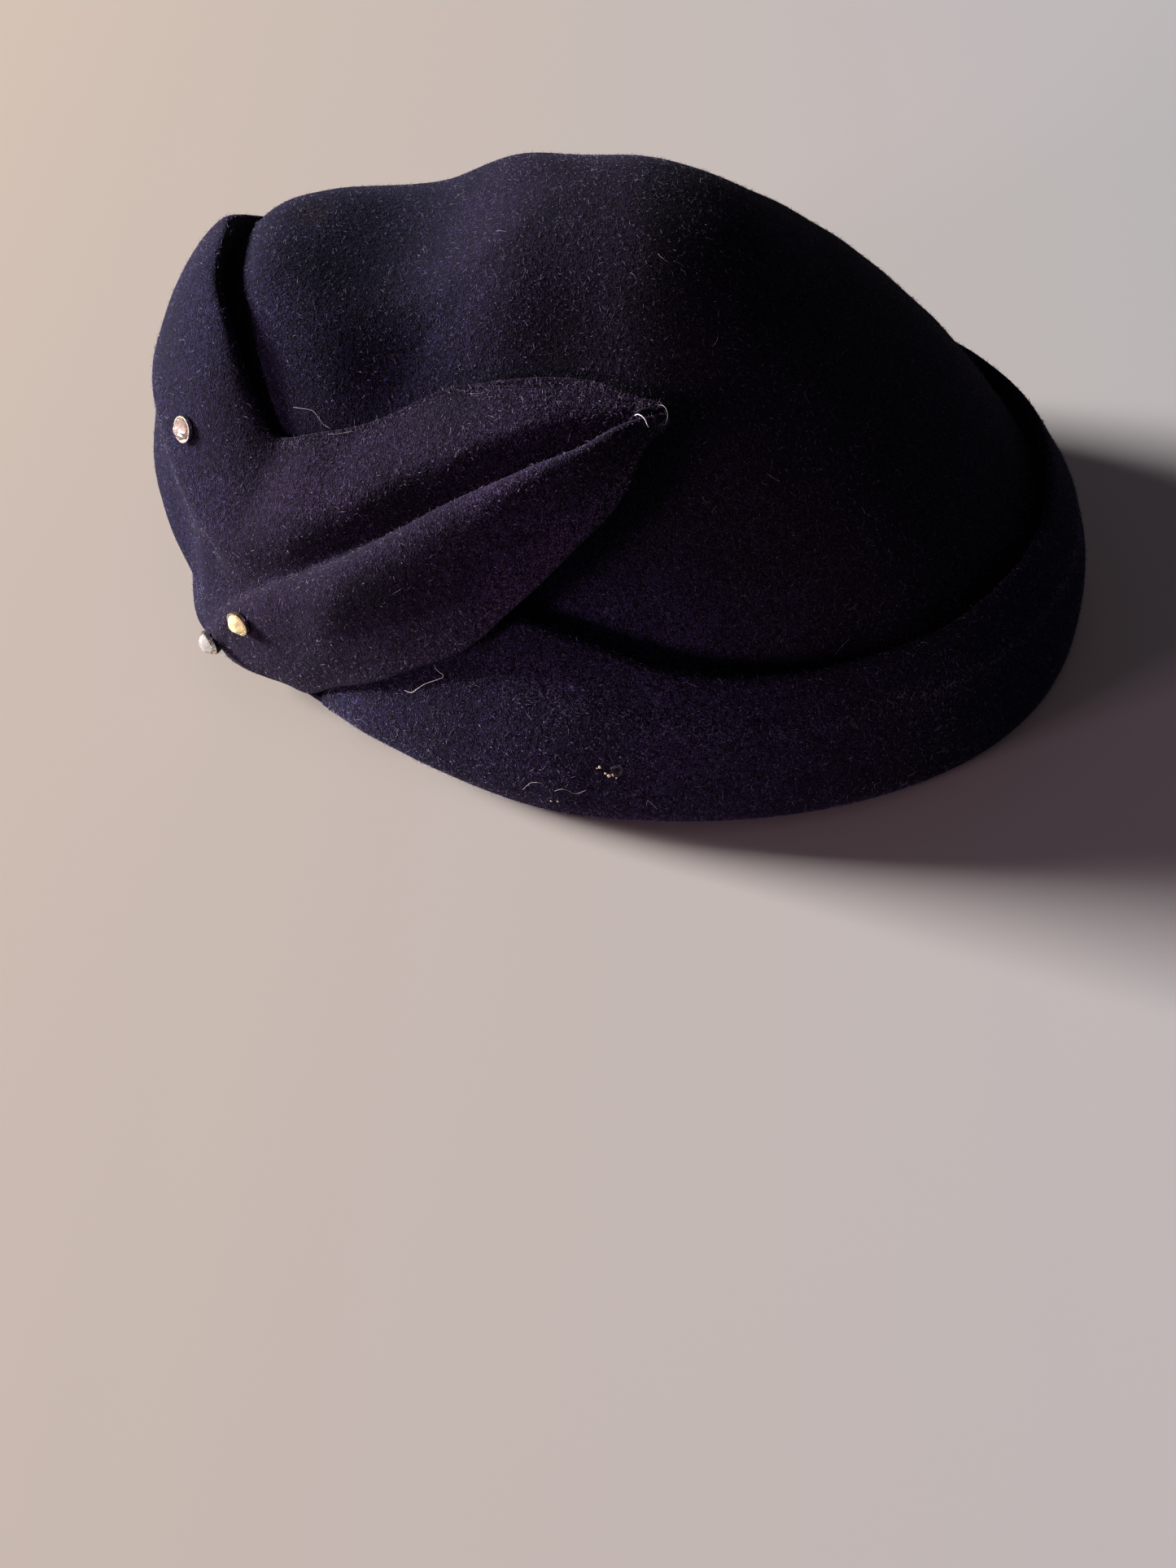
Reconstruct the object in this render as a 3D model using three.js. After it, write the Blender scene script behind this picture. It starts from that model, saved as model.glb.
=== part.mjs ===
// A small felt hat: a dented crown, one turned-up brim that laps over itself as a pleated leaf, and cut stones.
// Millimetres, +Z up. The front points to -Y and the wearer's left, where the leaf lies, to +X.
// The origin is under the middle of the hat's outline from above, on the plane that the rim rests on.

import * as THREE from 'three';

// Felt
const FELT = 2;                 // thickness of the felt
const LAYER_GAP = 0.4;          // clearance between two layers of felt

// Crown, measured over the outside
const HEAD_LENGTH = 203;        // front to back at the rim
const HEAD_WIDTH = 161.5;       // side to side at the rim
const CROWN_HEIGHT = 100.5;
const CROWN_FRONT = 91.5;       // reach of the upper crown forward of the middle
const CROWN_BACK = 104.5;       // reach of the upper crown behind the middle
const CROWN_SIDE = 78.5;        // reach of the upper crown to each side
const WIDEST_BEHIND = 6;        // how far behind the middle the head is widest
const APEX_FORWARD = 10;        // how far in front of the middle the crown's wall lines meet
const SIDE_BEND = 34;           // height at which the side wall has drawn in from the rim to the crown
const FRONT_BEND = 72;          // the same height at the front

// Shoulder of the crown: the exponent of its wall's curve, low for sloping and high for square
const SHOULDER_FRONT = 6.5;
const SHOULDER_SIDE = 2.07;
const SHOULDER_BACK = 1.62;
const SHOULDER_APEX = 2.2;
const SHOULDER_NEAR = 2.4;      // how much higher it is where the cuff leaves the crown on the near side
const NEAR_ANGLE = 22;          // degrees from the front at which that is
const NEAR_SPREAD = 24;         // degrees over which it fades to each side
const FRONT_TURN = 3.4;         // how quickly the front's exponent gives way to the side's
const BACK_TURN = 1.5;          // how quickly the back's exponent gives way to the side's
const APEX_FROM = 60;           // tilt in degrees above which the exponent goes over to the apex's

// Rim: it arches up from the resting plane in front of the near side
const ARCH_ANGLE = 44;          // degrees from the front
const ARCH_FORWARD = 36;        // degrees that the arch reaches forward
const ARCH_BACKWARD = 38;       // degrees that the arch reaches back
const ARCH_RISE = 11.5;

// Brim
const BRIM_BULGE = 14;          // the furthest that the brim's felt stands off the crown
const PLEAT_HANG = 1;           // how far the pleat's crest hangs over its valley
const SQUARE_FROM = 0.25;       // share of the crown's height above which the felt stands square off its wall
const SQUARE_BESIDE = 38;       // degrees from the front beyond which it does

// Stones and the foil cups behind them
const STONE_DIAMETER = 4.6;
const STONE_HEIGHT = 1.6;
const STONE_TABLE = 0.5;        // the table's diameter as a share of the stone's
const STONE_GIRDLE = 0.35;
const STONE_STAR = 0.78;        // the diameter where the star facets end, as a share of the stone's
const STAR_HEIGHT = 0.58;       // its height as a share of the slope between the girdle and the table
const STONE_SIDES = 8;
const CUP_WALL = 0.3;
const CUP_BASE = 0.4;
const CUP_LIP = 0.5;            // height of the lip round the stone
const SETTING_GAP = 0.25;       // clearance round the stone and under the cup
const CUP_SIDES = 16;

// Fineness of the facets
const COLUMN_STEP = 6;          // degrees between the columns of the crown and of the plain brim
const LEAF_STEP = 3;            // degrees between the columns of the leaf
const CROWN_ROWS = 13;
const BRIM_ROWS = 19;
const LEAF_FROM = 18;           // degrees from the front at which the finer columns begin
const TIP_ANGLE = 94.5;         // degrees from the front at which the leaf ends
const BRIM_START = -312;        // degrees from the front at which the brim begins, under the leaf

// Height of the crown's middle line, from the front to the back: place and height as shares
const CREST = table(['place', 'height'], [
  [-1.10, 0.94],
  [-0.85, 0.99],
  [-0.69, 0.93],
  [-0.45, 0.90],
  [-0.26, 0.99],
  [-0.05, 1.01],
  [0.20, 1.00],
  [1.05, 1.00],
]);

// Lines along the brim as shares of the crown's height. Lift is the lower edge over the rim,
// pleat the crest of the lower lobe, top the upper fold, and end the felt's last edge.
const BRIM_HEIGHTS = table(['angle', 'lift', 'pleat', 'top', 'end'], [
  [-312, 0.000, 0.150, 0.190, 0.178],
  [-304, 0.000, 0.200, 0.305, 0.260],
  [-297, 0.000, 0.225, 0.375, 0.310],
  [-289, 0.000, 0.240, 0.420, 0.345],
  [-281, 0.000, 0.220, 0.400, 0.325],
  [-270, 0.000, 0.190, 0.352, 0.280],
  [-240, 0.000, 0.180, 0.330, 0.255],
  [-215, 0.000, 0.190, 0.348, 0.268],
  [-180, 0.000, 0.200, 0.372, 0.292],
  [-130, 0.000, 0.190, 0.350, 0.270],
  [-90, 0.000, 0.205, 0.400, 0.315],
  [-60, 0.000, 0.255, 0.480, 0.380],
  [-38, 0.000, 0.350, 0.625, 0.510],
  [-20, 0.000, 0.410, 0.760, 0.640],
  [0, 0.000, 0.450, 0.895, 0.760],
  [15, 0.000, 0.380, 0.890, 0.750],
  [24, 0.000, 0.210, 0.835, 0.690],
  [27, 0.000, 0.165, 0.795, 0.682],
  [30, 0.000, 0.185, 0.740, 0.680],
  [34, 0.000, 0.265, 0.690, 0.700],
  [40, 0.004, 0.392, 0.745, 0.765],
  [46, 0.030, 0.498, 0.800, 0.812],
  [50, 0.105, 0.560, 0.828, 0.842],
  [54, 0.170, 0.606, 0.835, 0.847],
  [60, 0.267, 0.640, 0.822, 0.834],
  [66, 0.344, 0.662, 0.814, 0.826],
  [73, 0.471, 0.690, 0.812, 0.823],
  [80, 0.582, 0.716, 0.810, 0.820],
  [86, 0.655, 0.748, 0.804, 0.812],
  [90, 0.730, 0.765, 0.794, 0.801],
  [94.5, 0.770, 0.778, 0.788, 0.793],
]);

// How far the felt stands off the crown along the brim, as shares of the brim's bulge, at the lower edge,
// the belly under the pleat, the pleat's crest and valley, the lobe over it and the upper fold.
// Over counts the layers of felt that the lower part passes over.
const BRIM_REACH = table(['angle', 'edge', 'belly', 'crest', 'valley', 'lobe', 'fold', 'over'], [
  [-312, 0.00, 0.09, 0.12, 0.11, 0.08, 0.04, 0],
  [-304, 0.00, 0.30, 0.40, 0.40, 0.35, 0.17, 0],
  [-297, 0.00, 0.40, 0.52, 0.52, 0.44, 0.23, 0],
  [-289, 0.00, 0.46, 0.58, 0.58, 0.49, 0.26, 0],
  [-281, 0.00, 0.49, 0.61, 0.61, 0.51, 0.27, 0],
  [-270, 0.00, 0.49, 0.61, 0.61, 0.51, 0.28, 0],
  [-240, 0.00, 0.36, 0.50, 0.49, 0.44, 0.26, 0],
  [-215, 0.00, 0.19, 0.32, 0.32, 0.32, 0.20, 0],
  [-180, 0.00, 0.10, 0.22, 0.23, 0.24, 0.16, 0],
  [-130, 0.00, 0.17, 0.30, 0.31, 0.31, 0.19, 0],
  [-90, 0.00, 0.37, 0.53, 0.52, 0.47, 0.27, 0],
  [-60, 0.00, 0.40, 0.64, 0.64, 0.60, 0.33, 0],
  [-38, 0.00, 0.30, 0.68, 0.68, 0.68, 0.36, 0],
  [-20, 0.00, 0.15, 0.75, 0.75, 0.75, 0.34, 0],
  [0, 0.00, 0.04, 0.79, 0.80, 0.79, 0.28, 0],
  [15, 0.00, 0.00, 0.70, 0.76, 0.86, 0.26, 0],
  [24, 0.00, 0.03, 0.28, 0.46, 0.80, 0.22, 0],
  [27, 0.03, 0.11, 0.37, 0.46, 0.77, 0.19, 0],
  [30, 0.12, 0.28, 0.49, 0.45, 0.74, 0.15, 0],
  [34, 0.17, 0.46, 0.66, 0.50, 0.69, 0.09, 0],
  [40, 0.10, 0.58, 0.78, 0.56, 0.63, 0.05, 0],
  [46, 0.06, 0.60, 0.80, 0.59, 0.58, 0.04, 0.4],
  [50, 0.20, 0.64, 0.81, 0.59, 0.55, 0.03, 0.9],
  [54, 0.37, 0.67, 0.81, 0.57, 0.53, 0.02, 1],
  [60, 0.52, 0.70, 0.80, 0.51, 0.49, 0.02, 1],
  [66, 0.58, 0.70, 0.76, 0.43, 0.43, 0.02, 1],
  [73, 0.60, 0.66, 0.69, 0.36, 0.33, 0.01, 1],
  [80, 0.60, 0.62, 0.57, 0.21, 0.20, 0.01, 0.6],
  [86, 0.48, 0.47, 0.37, 0.09, 0.10, 0.01, 0.2],
  [90, 0.29, 0.27, 0.20, 0.03, 0.04, 0.01, 0],
  [94.5, 0.05, 0.05, 0.04, 0.02, 0.02, 0.01, 0],
]);

// Where the lines cross the felt's width, from the lower edge to the last edge
const ACROSS = [0, 0.2, 0.42, 0.465, 0.72, 0.9, 1];
const BELLY_RISE = 0.4;         // the belly's height between the lower edge and the pleat
const LOBE_RISE = 0.55;         // the lobe's height between the pleat and the top
const PLAIN_RISE = 0.18;        // the same for the line over the crest, where there is no pleat

// Stones on the brim: degrees from the front, and share of the felt's width
const STONE_PLACES = [
  { name: 'front', angle: 22.5, across: 0.755 },
  { name: 'pleat', angle: 38, across: 0.33 },
  { name: 'tip', angle: 31.5, across: 0.35 },
];

// Colours
const FELT_COLOUR = 0x1d1a2b;
const STONE_COLOUR = 0xd9d2c4;
const FOIL_COLOUR = 0xb9ab8c;

const DEGREE = Math.PI / 180;
const SMALL_TURN = 0.06;        // small steps for normals: degrees round the crown
const SMALL_RISE = 0.001;       // share of the crown's height
const SMALL_TILT = 0.1;         // degrees up the crown
const SMALL_ALONG = 0.15;       // degrees along the brim
const SMALL_ACROSS = 0.004;     // share of the brim's width
const SMALLEST_AREA = 1e-7;     // a triangle with less is left out
const UP = new THREE.Vector3(0, 0, 1);

function table(columns, rows) {
  return Object.fromEntries(columns.map((name, i) => [name, rows.map((row) => row[i])]));
}

function clamp01(value) {
  return Math.min(Math.max(value, 0), 1);
}

function ease(value) {
  const t = clamp01(value);
  return t * t * (3 - 2 * t);
}

function mix(a, b, t) {
  return a + (b - a) * t;
}

// A smooth curve through the points (xs, ys)
function curve(xs, ys, x) {
  const last = xs.length - 1;
  const slope = (i) => (ys[i + 1] - ys[i]) / (xs[i + 1] - xs[i]);
  const tangent = (i) => {
    if (i === 0) return slope(0);
    if (i === last) return slope(last - 1);
    const before = xs[i] - xs[i - 1];
    const after = xs[i + 1] - xs[i];
    return (slope(i - 1) * after + slope(i) * before) / (before + after);
  };
  let i = 0;
  while (i < last - 1 && x >= xs[i + 1]) i += 1;
  const width = xs[i + 1] - xs[i];
  const t = clamp01((x - xs[i]) / width);
  return ys[i] * (1 + 2 * t) * (1 - t) ** 2
    + tangent(i) * width * t * (1 - t) ** 2
    + ys[i + 1] * t * t * (3 - 2 * t)
    + tangent(i + 1) * width * t * t * (t - 1);
}

// Degrees from the front, from -180 to 180, positive on the wearer's left
function fromFront(angle) {
  return ((angle + 180) % 360 + 360) % 360 - 180;
}

// Height of the rim over the resting plane
function rimRise(angle) {
  const turn = fromFront(angle);
  const away = turn < ARCH_ANGLE ? (ARCH_ANGLE - turn) / ARCH_FORWARD : (turn - ARCH_ANGLE) / ARCH_BACKWARD;
  return ARCH_RISE * (1 - ease(away));
}

function shoulder(angle) {
  const forward = Math.cos(angle * DEGREE);
  const front = (SHOULDER_FRONT - SHOULDER_SIDE) * Math.max(forward, 0) ** FRONT_TURN;
  const back = (SHOULDER_BACK - SHOULDER_SIDE) * Math.max(-forward, 0) ** BACK_TURN;
  const near = 1 - ease(Math.abs(fromFront(angle) - NEAR_ANGLE) / NEAR_SPREAD);
  return SHOULDER_SIDE + front + back + SHOULDER_NEAR * near;
}

// A point of the crown's outside: in is 1 at the wall and 0 over the middle, up is the share of the height
function crownPoint(angle, inward, up) {
  const side = Math.sin(angle * DEGREE);
  const forward = Math.cos(angle * DEGREE);
  const bend = mix(SIDE_BEND, FRONT_BEND, Math.max(forward, 0) ** 2);
  const drawn = ease(up * CROWN_HEIGHT / bend);
  const behind = WIDEST_BEHIND * side * side;
  const reach = forward > 0 ? CROWN_FRONT : CROWN_BACK;
  const wallX = mix(HEAD_WIDTH / 2, CROWN_SIDE, drawn) * side;
  const wallY = mix(HEAD_LENGTH / 2, reach, drawn) * -forward + behind;
  const y = mix(-APEX_FORWARD, wallY, inward);
  const crest = curve(CREST.place, CREST.height, y / (HEAD_LENGTH / 2));
  return new THREE.Vector3(wallX * inward, y, up * CROWN_HEIGHT * crest);
}

// The crown's wall at a share of its height
function wallPoint(angle, up) {
  const power = shoulder(angle);
  const inward = clamp01(1 - clamp01(up) ** power) ** (1 / power);
  return crownPoint(angle, inward, up);
}

// The crown from the rim (tilt 0) to the middle (tilt 90), with one round top
function domePoint(angle, tilt) {
  const power = mix(shoulder(angle), SHOULDER_APEX, ease((tilt - APEX_FROM) / (90 - APEX_FROM)));
  const c = Math.max(Math.cos(tilt * DEGREE), 0);
  const s = Math.sin(tilt * DEGREE);
  const size = (c ** power + s ** power) ** (1 / power);
  const up = Math.max(s / size, rimRise(angle) / CROWN_HEIGHT * c * c);
  return crownPoint(angle, c / size, up);
}

// Unit normal of a surface function of two values, by small steps
function normalOf(surface, a, b, stepA, stepB, lastB) {
  const alongA = surface(a + stepA, b).sub(surface(a - stepA, b));
  const alongB = surface(a, Math.min(b + stepB, lastB)).sub(surface(a, Math.max(b - stepB, 0)));
  return alongA.cross(alongB).normalize();
}

// A point off the crown's wall: level at the rim and the front, square to the wall elsewhere
function offWall(angle, up, out) {
  const square = normalOf(wallPoint, angle, up, SMALL_TURN, SMALL_RISE, 1 - SMALL_RISE / 2);
  const level = new THREE.Vector3(square.x, square.y, 0).normalize();
  const share = ease(up / SQUARE_FROM) * ease(Math.abs(fromFront(angle)) / SQUARE_BESIDE);
  const direction = level.lerp(square, share).normalize();
  return wallPoint(angle, up).addScaledVector(direction, out);
}

// The middle of the brim's felt, across the felt's width at one angle
function brimMiddle(angle, across) {
  const height = (column) => curve(BRIM_HEIGHTS.angle, BRIM_HEIGHTS[column], angle);
  const reach = (column) => curve(BRIM_REACH.angle, BRIM_REACH[column], angle) * BRIM_BULGE;
  const seat = LAYER_GAP + FELT / 2;
  const over = seat + curve(BRIM_REACH.angle, BRIM_REACH.over, angle) * (FELT + LAYER_GAP);
  const low = rimRise(angle) / CROWN_HEIGHT + height('lift');
  const pleat = height('pleat');
  const top = height('top');
  const stepped = clamp01((reach('crest') - reach('valley')) / (2 * FELT));
  const valley = mix(mix(pleat, top, PLAIN_RISE), pleat - PLEAT_HANG / CROWN_HEIGHT, stepped);
  const ups = [low, mix(low, pleat, BELLY_RISE), pleat, valley, mix(pleat, top, LOBE_RISE), top, height('end')];
  const outs = [
    over + reach('edge'),
    over + reach('belly'),
    over + reach('crest'),
    seat + reach('valley'),
    seat + reach('lobe'),
    seat + reach('fold'),
    seat,
  ];
  return offWall(angle, curve(ACROSS, ups, across), curve(ACROSS, outs, across));
}

function brimNormal(angle, across) {
  return normalOf(brimMiddle, angle, across, SMALL_ALONG, SMALL_ACROSS, 1);
}

// A closed shell from an outer and an inner grid of points. It is a ring where its last column meets the first,
// and a column whose last points all meet closes there.
function shell(outer, inner, ring) {
  const columns = outer.length;
  const rows = outer[0].length;
  const points = [...outer.flat(), ...inner.flat()];
  const half = columns * rows;
  const out = (i, j) => (i % columns) * rows + j;
  const into = (i, j) => half + out(i, j);
  const triangles = [];
  const add = (...corners) => {
    const [a, b, c] = corners.map((n) => points[n]);
    const area = b.clone().sub(a).cross(c.clone().sub(a)).length();
    if (area > SMALLEST_AREA) triangles.push(...corners);
  };
  const quad = (a, b, c, d) => {
    add(a, b, c);
    add(a, c, d);
  };
  const spans = ring ? columns : columns - 1;
  for (let i = 0; i < spans; i += 1) {
    for (let j = 0; j < rows - 1; j += 1) {
      quad(out(i, j), out(i + 1, j), out(i + 1, j + 1), out(i, j + 1));
      quad(into(i, j), into(i, j + 1), into(i + 1, j + 1), into(i + 1, j));
    }
    quad(out(i, 0), into(i, 0), into(i + 1, 0), out(i + 1, 0));
    if (!ring) quad(out(i, rows - 1), out(i + 1, rows - 1), into(i + 1, rows - 1), into(i, rows - 1));
  }
  if (!ring) {
    for (let j = 0; j < rows - 1; j += 1) {
      const end = columns - 1;
      quad(out(0, j), out(0, j + 1), into(0, j + 1), into(0, j));
      quad(out(end, j), into(end, j), into(end, j + 1), out(end, j + 1));
    }
  }
  return solidGeometry(points, triangles);
}

function solidGeometry(points, triangles) {
  const geometry = new THREE.BufferGeometry();
  geometry.setAttribute('position', new THREE.Float32BufferAttribute(points.flatMap((p) => p.toArray()), 3));
  geometry.setIndex(triangles);
  geometry.computeVertexNormals();
  return geometry;
}

// Crown: a hollow dome of felt, open below
function crownGeometry() {
  const outer = [];
  const inner = [];
  for (let angle = 0; angle < 360; angle += COLUMN_STEP) {
    const outerColumn = [];
    const innerColumn = [];
    for (let row = 0; row <= CROWN_ROWS; row += 1) {
      const tilt = 90 * row / CROWN_ROWS;
      const point = domePoint(angle, tilt);
      const apex = row === CROWN_ROWS;
      const normal = apex ? UP : normalOf(domePoint, angle, tilt, SMALL_TURN, SMALL_TILT, 90 - SMALL_TILT);
      const within = point.clone().addScaledVector(normal, -FELT);
      if (row === 0) within.z = point.z;
      outerColumn.push(point);
      innerColumn.push(within);
    }
    outer.push(outerColumn);
    inner.push(innerColumn);
  }
  return shell(outer, inner, true);
}

// Brim: one strip of felt, from its start under the leaf, round the back and the front, to the leaf's tip
function brimAngles() {
  const angles = [];
  for (let angle = BRIM_START; angle < LEAF_FROM; angle += COLUMN_STEP) angles.push(angle);
  for (let angle = LEAF_FROM; angle < TIP_ANGLE; angle += LEAF_STEP) angles.push(angle);
  return [...angles, TIP_ANGLE];
}

function brimGeometry() {
  const outer = [];
  const inner = [];
  for (const angle of brimAngles()) {
    const outerColumn = [];
    const innerColumn = [];
    const floor = rimRise(angle);
    for (let row = 0; row <= BRIM_ROWS; row += 1) {
      const across = row / BRIM_ROWS;
      const middle = brimMiddle(angle, across);
      const normal = brimNormal(angle, across);
      const face = middle.clone().addScaledVector(normal, FELT / 2);
      const back = middle.clone().addScaledVector(normal, -FELT / 2);
      const onRim = row === 0 && curve(BRIM_HEIGHTS.angle, BRIM_HEIGHTS.lift, angle) === 0;
      for (const point of [face, back]) point.z = onRim ? floor : Math.max(point.z, floor + row * LAYER_GAP);
      outerColumn.push(face);
      innerColumn.push(back);
    }
    outer.push(outerColumn);
    inner.push(innerColumn);
  }
  return shell(outer, inner, false);
}

// A flat-backed stone: a table with eight sides, eight star and eight kite facets, a girdle and a flat back
function stoneGeometry() {
  const radius = STONE_DIAMETER / 2;
  const slopeHeight = STONE_HEIGHT - STONE_GIRDLE;
  const level = (sides, size, height, turn) => {
    const points = [];
    for (let i = 0; i < sides; i += 1) {
      const angle = (i + turn) * 2 * Math.PI / sides;
      points.push(new THREE.Vector3(size * Math.cos(angle), size * Math.sin(angle), height));
    }
    return points;
  };
  const tableAt = 0;
  const starAt = tableAt + STONE_SIDES;
  const girdleAt = starAt + STONE_SIDES;
  const backAt = girdleAt + 2 * STONE_SIDES;
  const tableCentre = backAt + 2 * STONE_SIDES;
  const points = [
    ...level(STONE_SIDES, radius * STONE_TABLE, STONE_HEIGHT, 0),
    ...level(STONE_SIDES, radius * STONE_STAR, STONE_GIRDLE + slopeHeight * STAR_HEIGHT, 0.5),
    ...level(2 * STONE_SIDES, radius, STONE_GIRDLE, 0),
    ...level(2 * STONE_SIDES, radius, 0, 0),
    new THREE.Vector3(0, 0, STONE_HEIGHT),
    new THREE.Vector3(0, 0, 0),
  ];
  const triangles = [];
  for (let i = 0; i < STONE_SIDES; i += 1) {
    const next = (i + 1) % STONE_SIDES;
    const girdle = girdleAt + 2 * i;
    const girdleNext = girdleAt + (2 * i + 2) % (2 * STONE_SIDES);
    triangles.push(tableCentre, tableAt + i, tableAt + next);
    triangles.push(tableAt + i, starAt + i, tableAt + next);
    triangles.push(starAt + i, girdle + 1, girdleNext);
    triangles.push(starAt + i, girdle, girdle + 1);
    triangles.push(tableAt + i, girdle, starAt + i);
    triangles.push(tableAt + next, starAt + i, girdleNext);
  }
  for (let i = 0; i < 2 * STONE_SIDES; i += 1) {
    const next = (i + 1) % (2 * STONE_SIDES);
    triangles.push(girdleAt + i, backAt + i, backAt + next);
    triangles.push(girdleAt + i, backAt + next, girdleAt + next);
    triangles.push(tableCentre + 1, backAt + next, backAt + i);
  }
  return solidGeometry(points, triangles);
}

// A thin foil cup that holds a stone by its girdle
function cupGeometry() {
  const inside = STONE_DIAMETER / 2 + SETTING_GAP;
  const outside = inside + CUP_WALL;
  const rim = CUP_BASE + CUP_LIP;
  const profile = [
    [0, 0],
    [outside, 0],
    [outside, rim],
    [inside, rim],
    [inside, CUP_BASE],
    [0, CUP_BASE],
  ].map(([x, y]) => new THREE.Vector2(x, y));
  const geometry = new THREE.LatheGeometry(profile, CUP_SIDES);
  geometry.rotateX(Math.PI / 2);
  return geometry;
}

function felt() {
  return new THREE.MeshStandardMaterial({ color: FELT_COLOUR, roughness: 0.95, metalness: 0 });
}

function piece(name, geometry, material) {
  const mesh = new THREE.Mesh(geometry, material);
  mesh.name = name;
  return mesh;
}

// A stone in its cup, laid on the brim's face
function jewel({ name, angle, across }) {
  const normal = brimNormal(angle, across);
  const group = new THREE.Group();
  const foil = new THREE.MeshStandardMaterial({ color: FOIL_COLOUR, roughness: 0.25, metalness: 1 });
  const glass = new THREE.MeshStandardMaterial({ color: STONE_COLOUR, roughness: 0.05, metalness: 0 });
  const cup = piece(`cup_${name}`, cupGeometry(), foil);
  const stone = piece(`stone_${name}`, stoneGeometry(), glass);
  stone.position.z = CUP_BASE + SETTING_GAP;
  group.add(cup, stone);
  group.quaternion.setFromUnitVectors(UP, normal);
  group.position.copy(brimMiddle(angle, across)).addScaledVector(normal, FELT / 2 + SETTING_GAP);
  return group;
}

const hat = new THREE.Group();
hat.add(piece('crown', crownGeometry(), felt()));
hat.add(piece('brim', brimGeometry(), felt()));
for (const place of STONE_PLACES) hat.add(jewel(place));

// The hat stands on the origin by the middle of its outline
const outline = new THREE.Box3().setFromObject(hat, true).getCenter(new THREE.Vector3());
hat.position.set(-outline.x, -outline.y, 0);

export default hat;
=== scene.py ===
"""Looks of the small felt hat: crown, turned-up brim with its pleated leaf, cut stones, threads and nap.

Units are metres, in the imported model's frame: +Z up, -Y the front, +X the wearer's left, where the leaf lies.
The felt's forms are worked out in millimetres on the same tables as the solids, and then placed in the frame.
"""

import logging
import math
from collections.abc import Callable, Sequence
from dataclasses import dataclass, field
from enum import Enum

import bpy
import numpy as np
from mathutils import Matrix, Vector


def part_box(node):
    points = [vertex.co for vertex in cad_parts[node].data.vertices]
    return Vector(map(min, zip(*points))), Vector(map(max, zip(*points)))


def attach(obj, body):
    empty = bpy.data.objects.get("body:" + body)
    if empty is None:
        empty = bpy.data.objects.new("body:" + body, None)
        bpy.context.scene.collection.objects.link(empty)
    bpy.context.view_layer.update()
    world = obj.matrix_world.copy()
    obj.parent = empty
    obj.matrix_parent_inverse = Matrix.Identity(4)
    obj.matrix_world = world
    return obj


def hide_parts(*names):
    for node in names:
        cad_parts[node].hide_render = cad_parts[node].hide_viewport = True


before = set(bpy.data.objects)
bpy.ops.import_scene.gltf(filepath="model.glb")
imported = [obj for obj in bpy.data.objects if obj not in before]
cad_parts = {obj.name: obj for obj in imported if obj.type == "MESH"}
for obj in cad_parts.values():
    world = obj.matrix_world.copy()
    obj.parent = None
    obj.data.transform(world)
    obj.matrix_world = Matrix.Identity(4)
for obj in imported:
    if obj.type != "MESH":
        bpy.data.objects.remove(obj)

logging.basicConfig(level=logging.INFO, format="%(message)s")
log = logging.getLogger("hat")

Array = np.ndarray
Surface = Callable[[Array, Array], Array]
Nodes = bpy.types.NodeTree
Socket = bpy.types.NodeSocket
Colour = tuple[float, float, float]
Route = Sequence[tuple[float, float, float]]
Inputs = dict[str | int, object]

MM = 0.001
BODY = "root"

# The brim's strip, in degrees from the front: where it begins under the leaf, and the leaf's tip
START_ANGLE = -312.0
TIP_ANGLE = 94.5

# Between which angles loose fibres lie on the brim, so that none hangs over its ends
LEAN_ANGLES = (-311.0, 94.0)

# The stones on the brim: degrees from the front, and share of the felt's width
STONES = ((22.5, 0.755), (38.0, 0.33), (31.5, 0.35))

# Small steps for normals: degrees round the crown, share of its height, degrees up it, and degrees along the
# brim and share across it
SMALL_TURN = 0.06
SMALL_RISE = 0.001
SMALL_TILT = 0.1
SMALL_ALONG = 0.15
SMALL_ACROSS = 0.004

# The slight waves of worked felt in millimetres: their lengths, their seeds, how far they reach along X, Y
# and Z, the height above the rim from which they are in full, and the calm and the fade round a stone
WAVE_LENGTHS = (46, 23, 14)
WAVE_SEEDS = (3, 5, 8)
WAVE_REACH = (0.30, 0.30, 0.22)
FULL_FROM = 12.0
STONE_CALM = 5.0
STONE_FADE = 9.0

# A direction that no tube's path follows
ASKEW = (0.31, 0.52, 0.79)


# Numbers


def table(columns: Sequence[str], rows: Sequence[Sequence[float]]) -> dict[str, Array]:
    """A table of given rows as one array for each named column.

    Args:
        columns: the columns' names.
        rows: one row of numbers for each place.

    Returns:
        The columns by name.
    """
    values = np.asarray(rows, float)
    return {name: values[:, i] for i, name in enumerate(columns)}


# Height of the crown's middle line, from the front to the back: place and height as shares
CREST = table(
    ["place", "height"],
    [
        [-1.10, 0.94],
        [-0.85, 0.99],
        [-0.69, 0.93],
        [-0.45, 0.90],
        [-0.26, 0.99],
        [-0.05, 1.01],
        [0.20, 1.00],
        [1.05, 1.00],
    ],
)

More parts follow.
